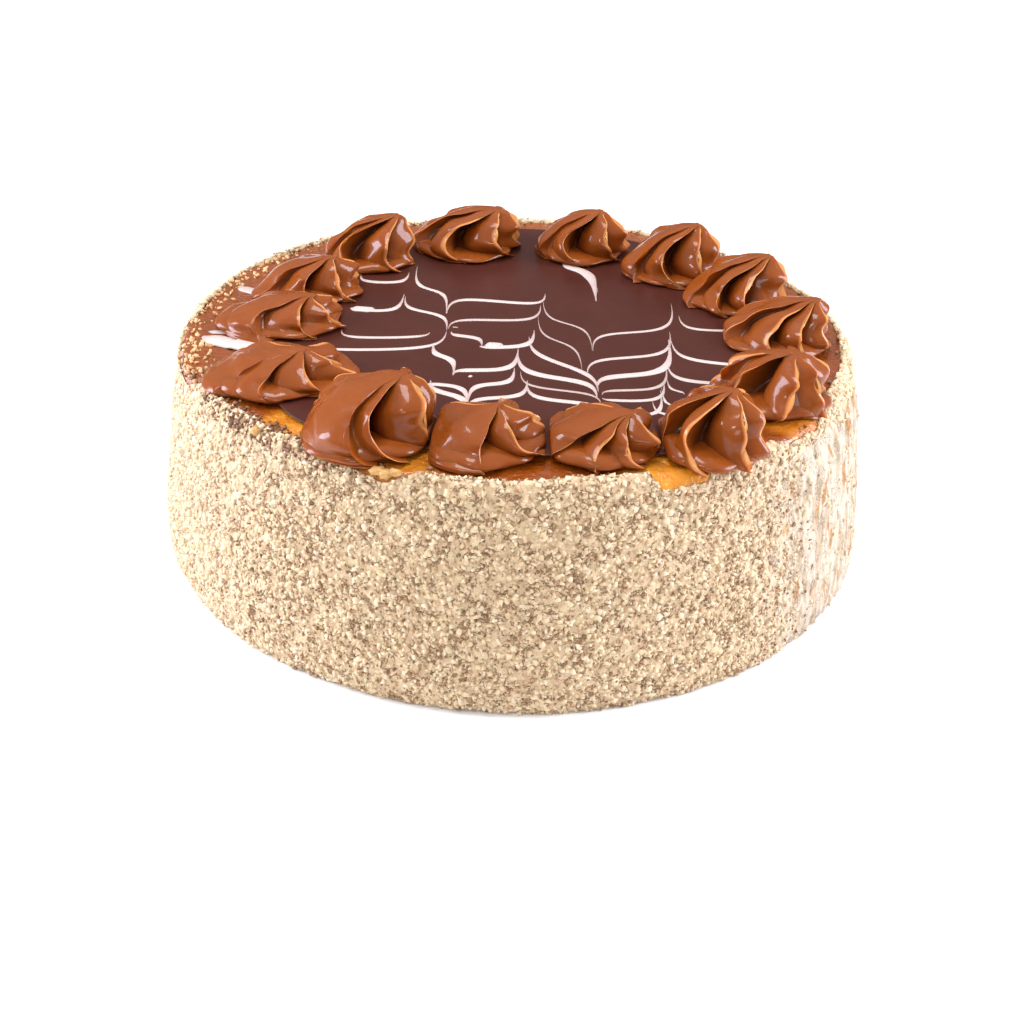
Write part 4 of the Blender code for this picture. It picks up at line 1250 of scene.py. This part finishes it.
def pressed_apart(points, number):
    """Move points back behind the planes where a rosette presses on its two neighbours"""
    rosette = ROSETTES[number]
    for neighbour in (ROSETTES[number - 1], ROSETTES[(number + 1) % len(ROSETTES)]):
        way = np.array((neighbour.x - rosette.x, neighbour.y - rosette.y))
        distance = np.linalg.norm(way)
        way = way / distance
        limit = distance * rosette.radius / (rosette.radius + neighbour.radius)
        start = limit - ROSETTE_GAP / 2.0 - SOFT_CONTACT
        along = (points[..., :2] - (rosette.x, rosette.y)) @ way
        over = np.maximum(along - start, 0.0)
        pressed = SOFT_CONTACT * (1.0 - np.exp(-over / SOFT_CONTACT))
        points[..., :2] += ((pressed - over) * (over > 0.0))[..., None] * way
    return points


def sagged(points, rosette):
    """Let the foot of a rosette down onto whatever lies under it"""
    sink = np.minimum(ROSETTE_BASE - support_height(points) - FIT_GAP, SAG_LIMIT)
    rise = (points[..., 2] - ROSETTE_BASE) / rosette.height
    points[..., 2] -= sink * (1.0 - np.clip(rise, 0.0, 1.0)) ** SAG_FADE
    return points


def rosette_piece(number, material):
    """One piped rosette on its first flat turn, with its crests marked"""
    rosette = ROSETTES[number]
    even = np.arange(FACETS_PER_FOLD) / FACETS_PER_FOLD
    share = even - CREST_CROWDING * np.sin(math.tau * even) / math.tau
    climb = np.arange(RINGS) / RINGS
    shares, climbs = np.meshgrid(share, climb)
    parts = [piped_points(rosette, fold, shares, climbs) for fold in range(len(rosette.folds))]
    rings = np.concatenate([points for points, crest in parts], axis=1)
    crests = np.concatenate([crest for points, crest in parts], axis=1)
    rings = sagged(pressed_apart(slumped(rings, rosette), number), rosette)
    tip, _ = piped_points(rosette, 0, np.array([0.0]), np.array([1.0]))
    under = sagged(np.array([[rosette.x, rosette.y, ROSETTE_BASE]]), rosette)
    piece = skin(f"piped_rosette_{number + 1:02d}", rings, under[0], tip[0])
    mark_rings(piece, "crest", crests, (0.0, 1.0))
    azimuths = np.linspace(0.0, math.tau, COIL_FACETS, endpoint=False)
    rings = sagged(pressed_apart(coil_points(rosette, azimuths), number), rosette)
    middle = rings[-1].mean(axis=0)
    coil = skin("first_turn", rings, under[0], middle)
    mark_rings(coil, "crest", np.full(rings[..., 0].size, COIL_CREST))
    join_into(piece, coil)
    piece.data.materials.append(material)
    return piece


def join_into(piece, other):
    """Add the mesh of another object to a piece and drop that object"""
    shaping = bmesh.new()
    shaping.from_mesh(piece.data)
    shaping.from_mesh(other.data)
    shaping.to_mesh(piece.data)
    shaping.free()
    bpy.data.objects.remove(other)


def add_camera():
    """The camera at the photograph's viewing angle"""
    camera = shown("camera", bpy.data.cameras.new("camera"))
    camera.data.lens = CAMERA_LENS
    camera.data.sensor_width = SENSOR_WIDTH
    camera.data.clip_start = 0.01
    turn = Matrix.Rotation(math.radians(CAMERA_TILT), 4, "X")
    roll = Matrix.Rotation(math.radians(CAMERA_ROLL), 4, "Z")
    camera.matrix_world = Matrix.Translation(CAMERA_PLACE) @ turn @ roll
    bpy.context.scene.camera = camera


def add_lights():
    """Plain soft studio light: a pale surrounding with softboxes above and at either side"""
    for box in SOFTBOXES:
        lamp = bpy.data.lights.new(box.name, "AREA")
        lamp.shape = "RECTANGLE"
        lamp.size = box.width
        lamp.size_y = box.height
        lamp.energy = box.power
        lamp.color = box.tint
        holder = shown(box.name, lamp)
        holder.location = box.place
        away = Vector(box.place) - Vector(box.aim)
        holder.rotation_euler = away.to_track_quat("Z", "Y").to_euler()
    world = bpy.data.worlds.new("studio")
    world.use_nodes = True
    tree = world.node_tree
    backdrop = tree.nodes["Background"]
    direction = put(tree, "ShaderNodeTexCoord").outputs["Generated"]
    parts = put(tree, "ShaderNodeSeparateXYZ", (), {0: direction}).outputs
    upward = smooth_range(tree, parts[2], 0.15, 0.85)
    sideways = times(tree, parts[0], parts[0])
    toward_view = maths(tree, "MAXIMUM", times(tree, parts[1], -1.0), 0.0)
    level = maths(tree, "MULTIPLY_ADD", sideways, SIDE_LIGHT, HORIZON_LIGHT)
    level = maths(tree, "MULTIPLY_ADD", toward_view, VIEW_LIGHT, level)
    feeds = {0: upward, 2: level, 3: SKY_LIGHT}
    light = output_of(tree, "ShaderNodeMix", feeds, {"data_type": "FLOAT"})
    tree.links.new(light, backdrop.inputs["Strength"])
    backdrop.inputs["Color"].default_value = (1.0, 1.0, 1.0, 1.0)
    bpy.context.scene.world = world


def add_floor():
    """A plain pale floor, well beyond the view"""
    shaping = bmesh.new()
    bmesh.ops.create_circle(shaping, cap_ends=True, segments=96, radius=FLOOR_RADIUS)
    mesh = bpy.data.meshes.new("floor")
    shaping.to_mesh(mesh)
    shaping.free()
    mesh.transform(Matrix.Translation((0.0, 0.0, -0.1 * MM)))
    floor = shown("floor", mesh)
    material, tree, shader = start_material("pale_floor")
    shader.inputs["Base Color"].default_value = (0.92, 0.92, 0.92, 1.0)
    shader.inputs["Roughness"].default_value = 0.7
    mesh.materials.append(material)


def dress(piece, node=None):
    """Hide the solid that a piece replaces, if any, and let the piece ride on root"""
    if node:
        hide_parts(node)
    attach(piece, "root")


def dress_cake():
    """Make every piece, hide the solids that they replace, and let each one ride on root"""
    noise.seed_set(SEED)
    group = grain_group()
    coat = coat_piece()
    grow(coat, relief_tree(), {**RELIEF_SIZES, "Material": coat_finish(group)})
    keep_inside(coat)
    dress(coat, "cake_body")
    sheet = sheet_piece(amber_finish(group))
    for piece in crumb_pieces(coat, sheet, group):
        dress(piece)
    nut_look = crumb_finish(group, "blanched_nut", NUT_PALE, NUT_GOLD, 0.45)
    dress(nut_piece(nut_look))
    dress(sheet, "caramel_top")
    dress(glaze_piece(chocolate_finish(group)), "chocolate_glaze")
    dress(icing_piece(icing_finish(group)))
    caramel = caramel_finish(group)
    for number in range(len(ROSETTES)):
        dress(rosette_piece(number, caramel), f"rosette_{number + 1:02d}")


bpy.context.scene.view_settings.view_transform = "Standard"
add_camera()
add_lights()
add_floor()
dress_cake()
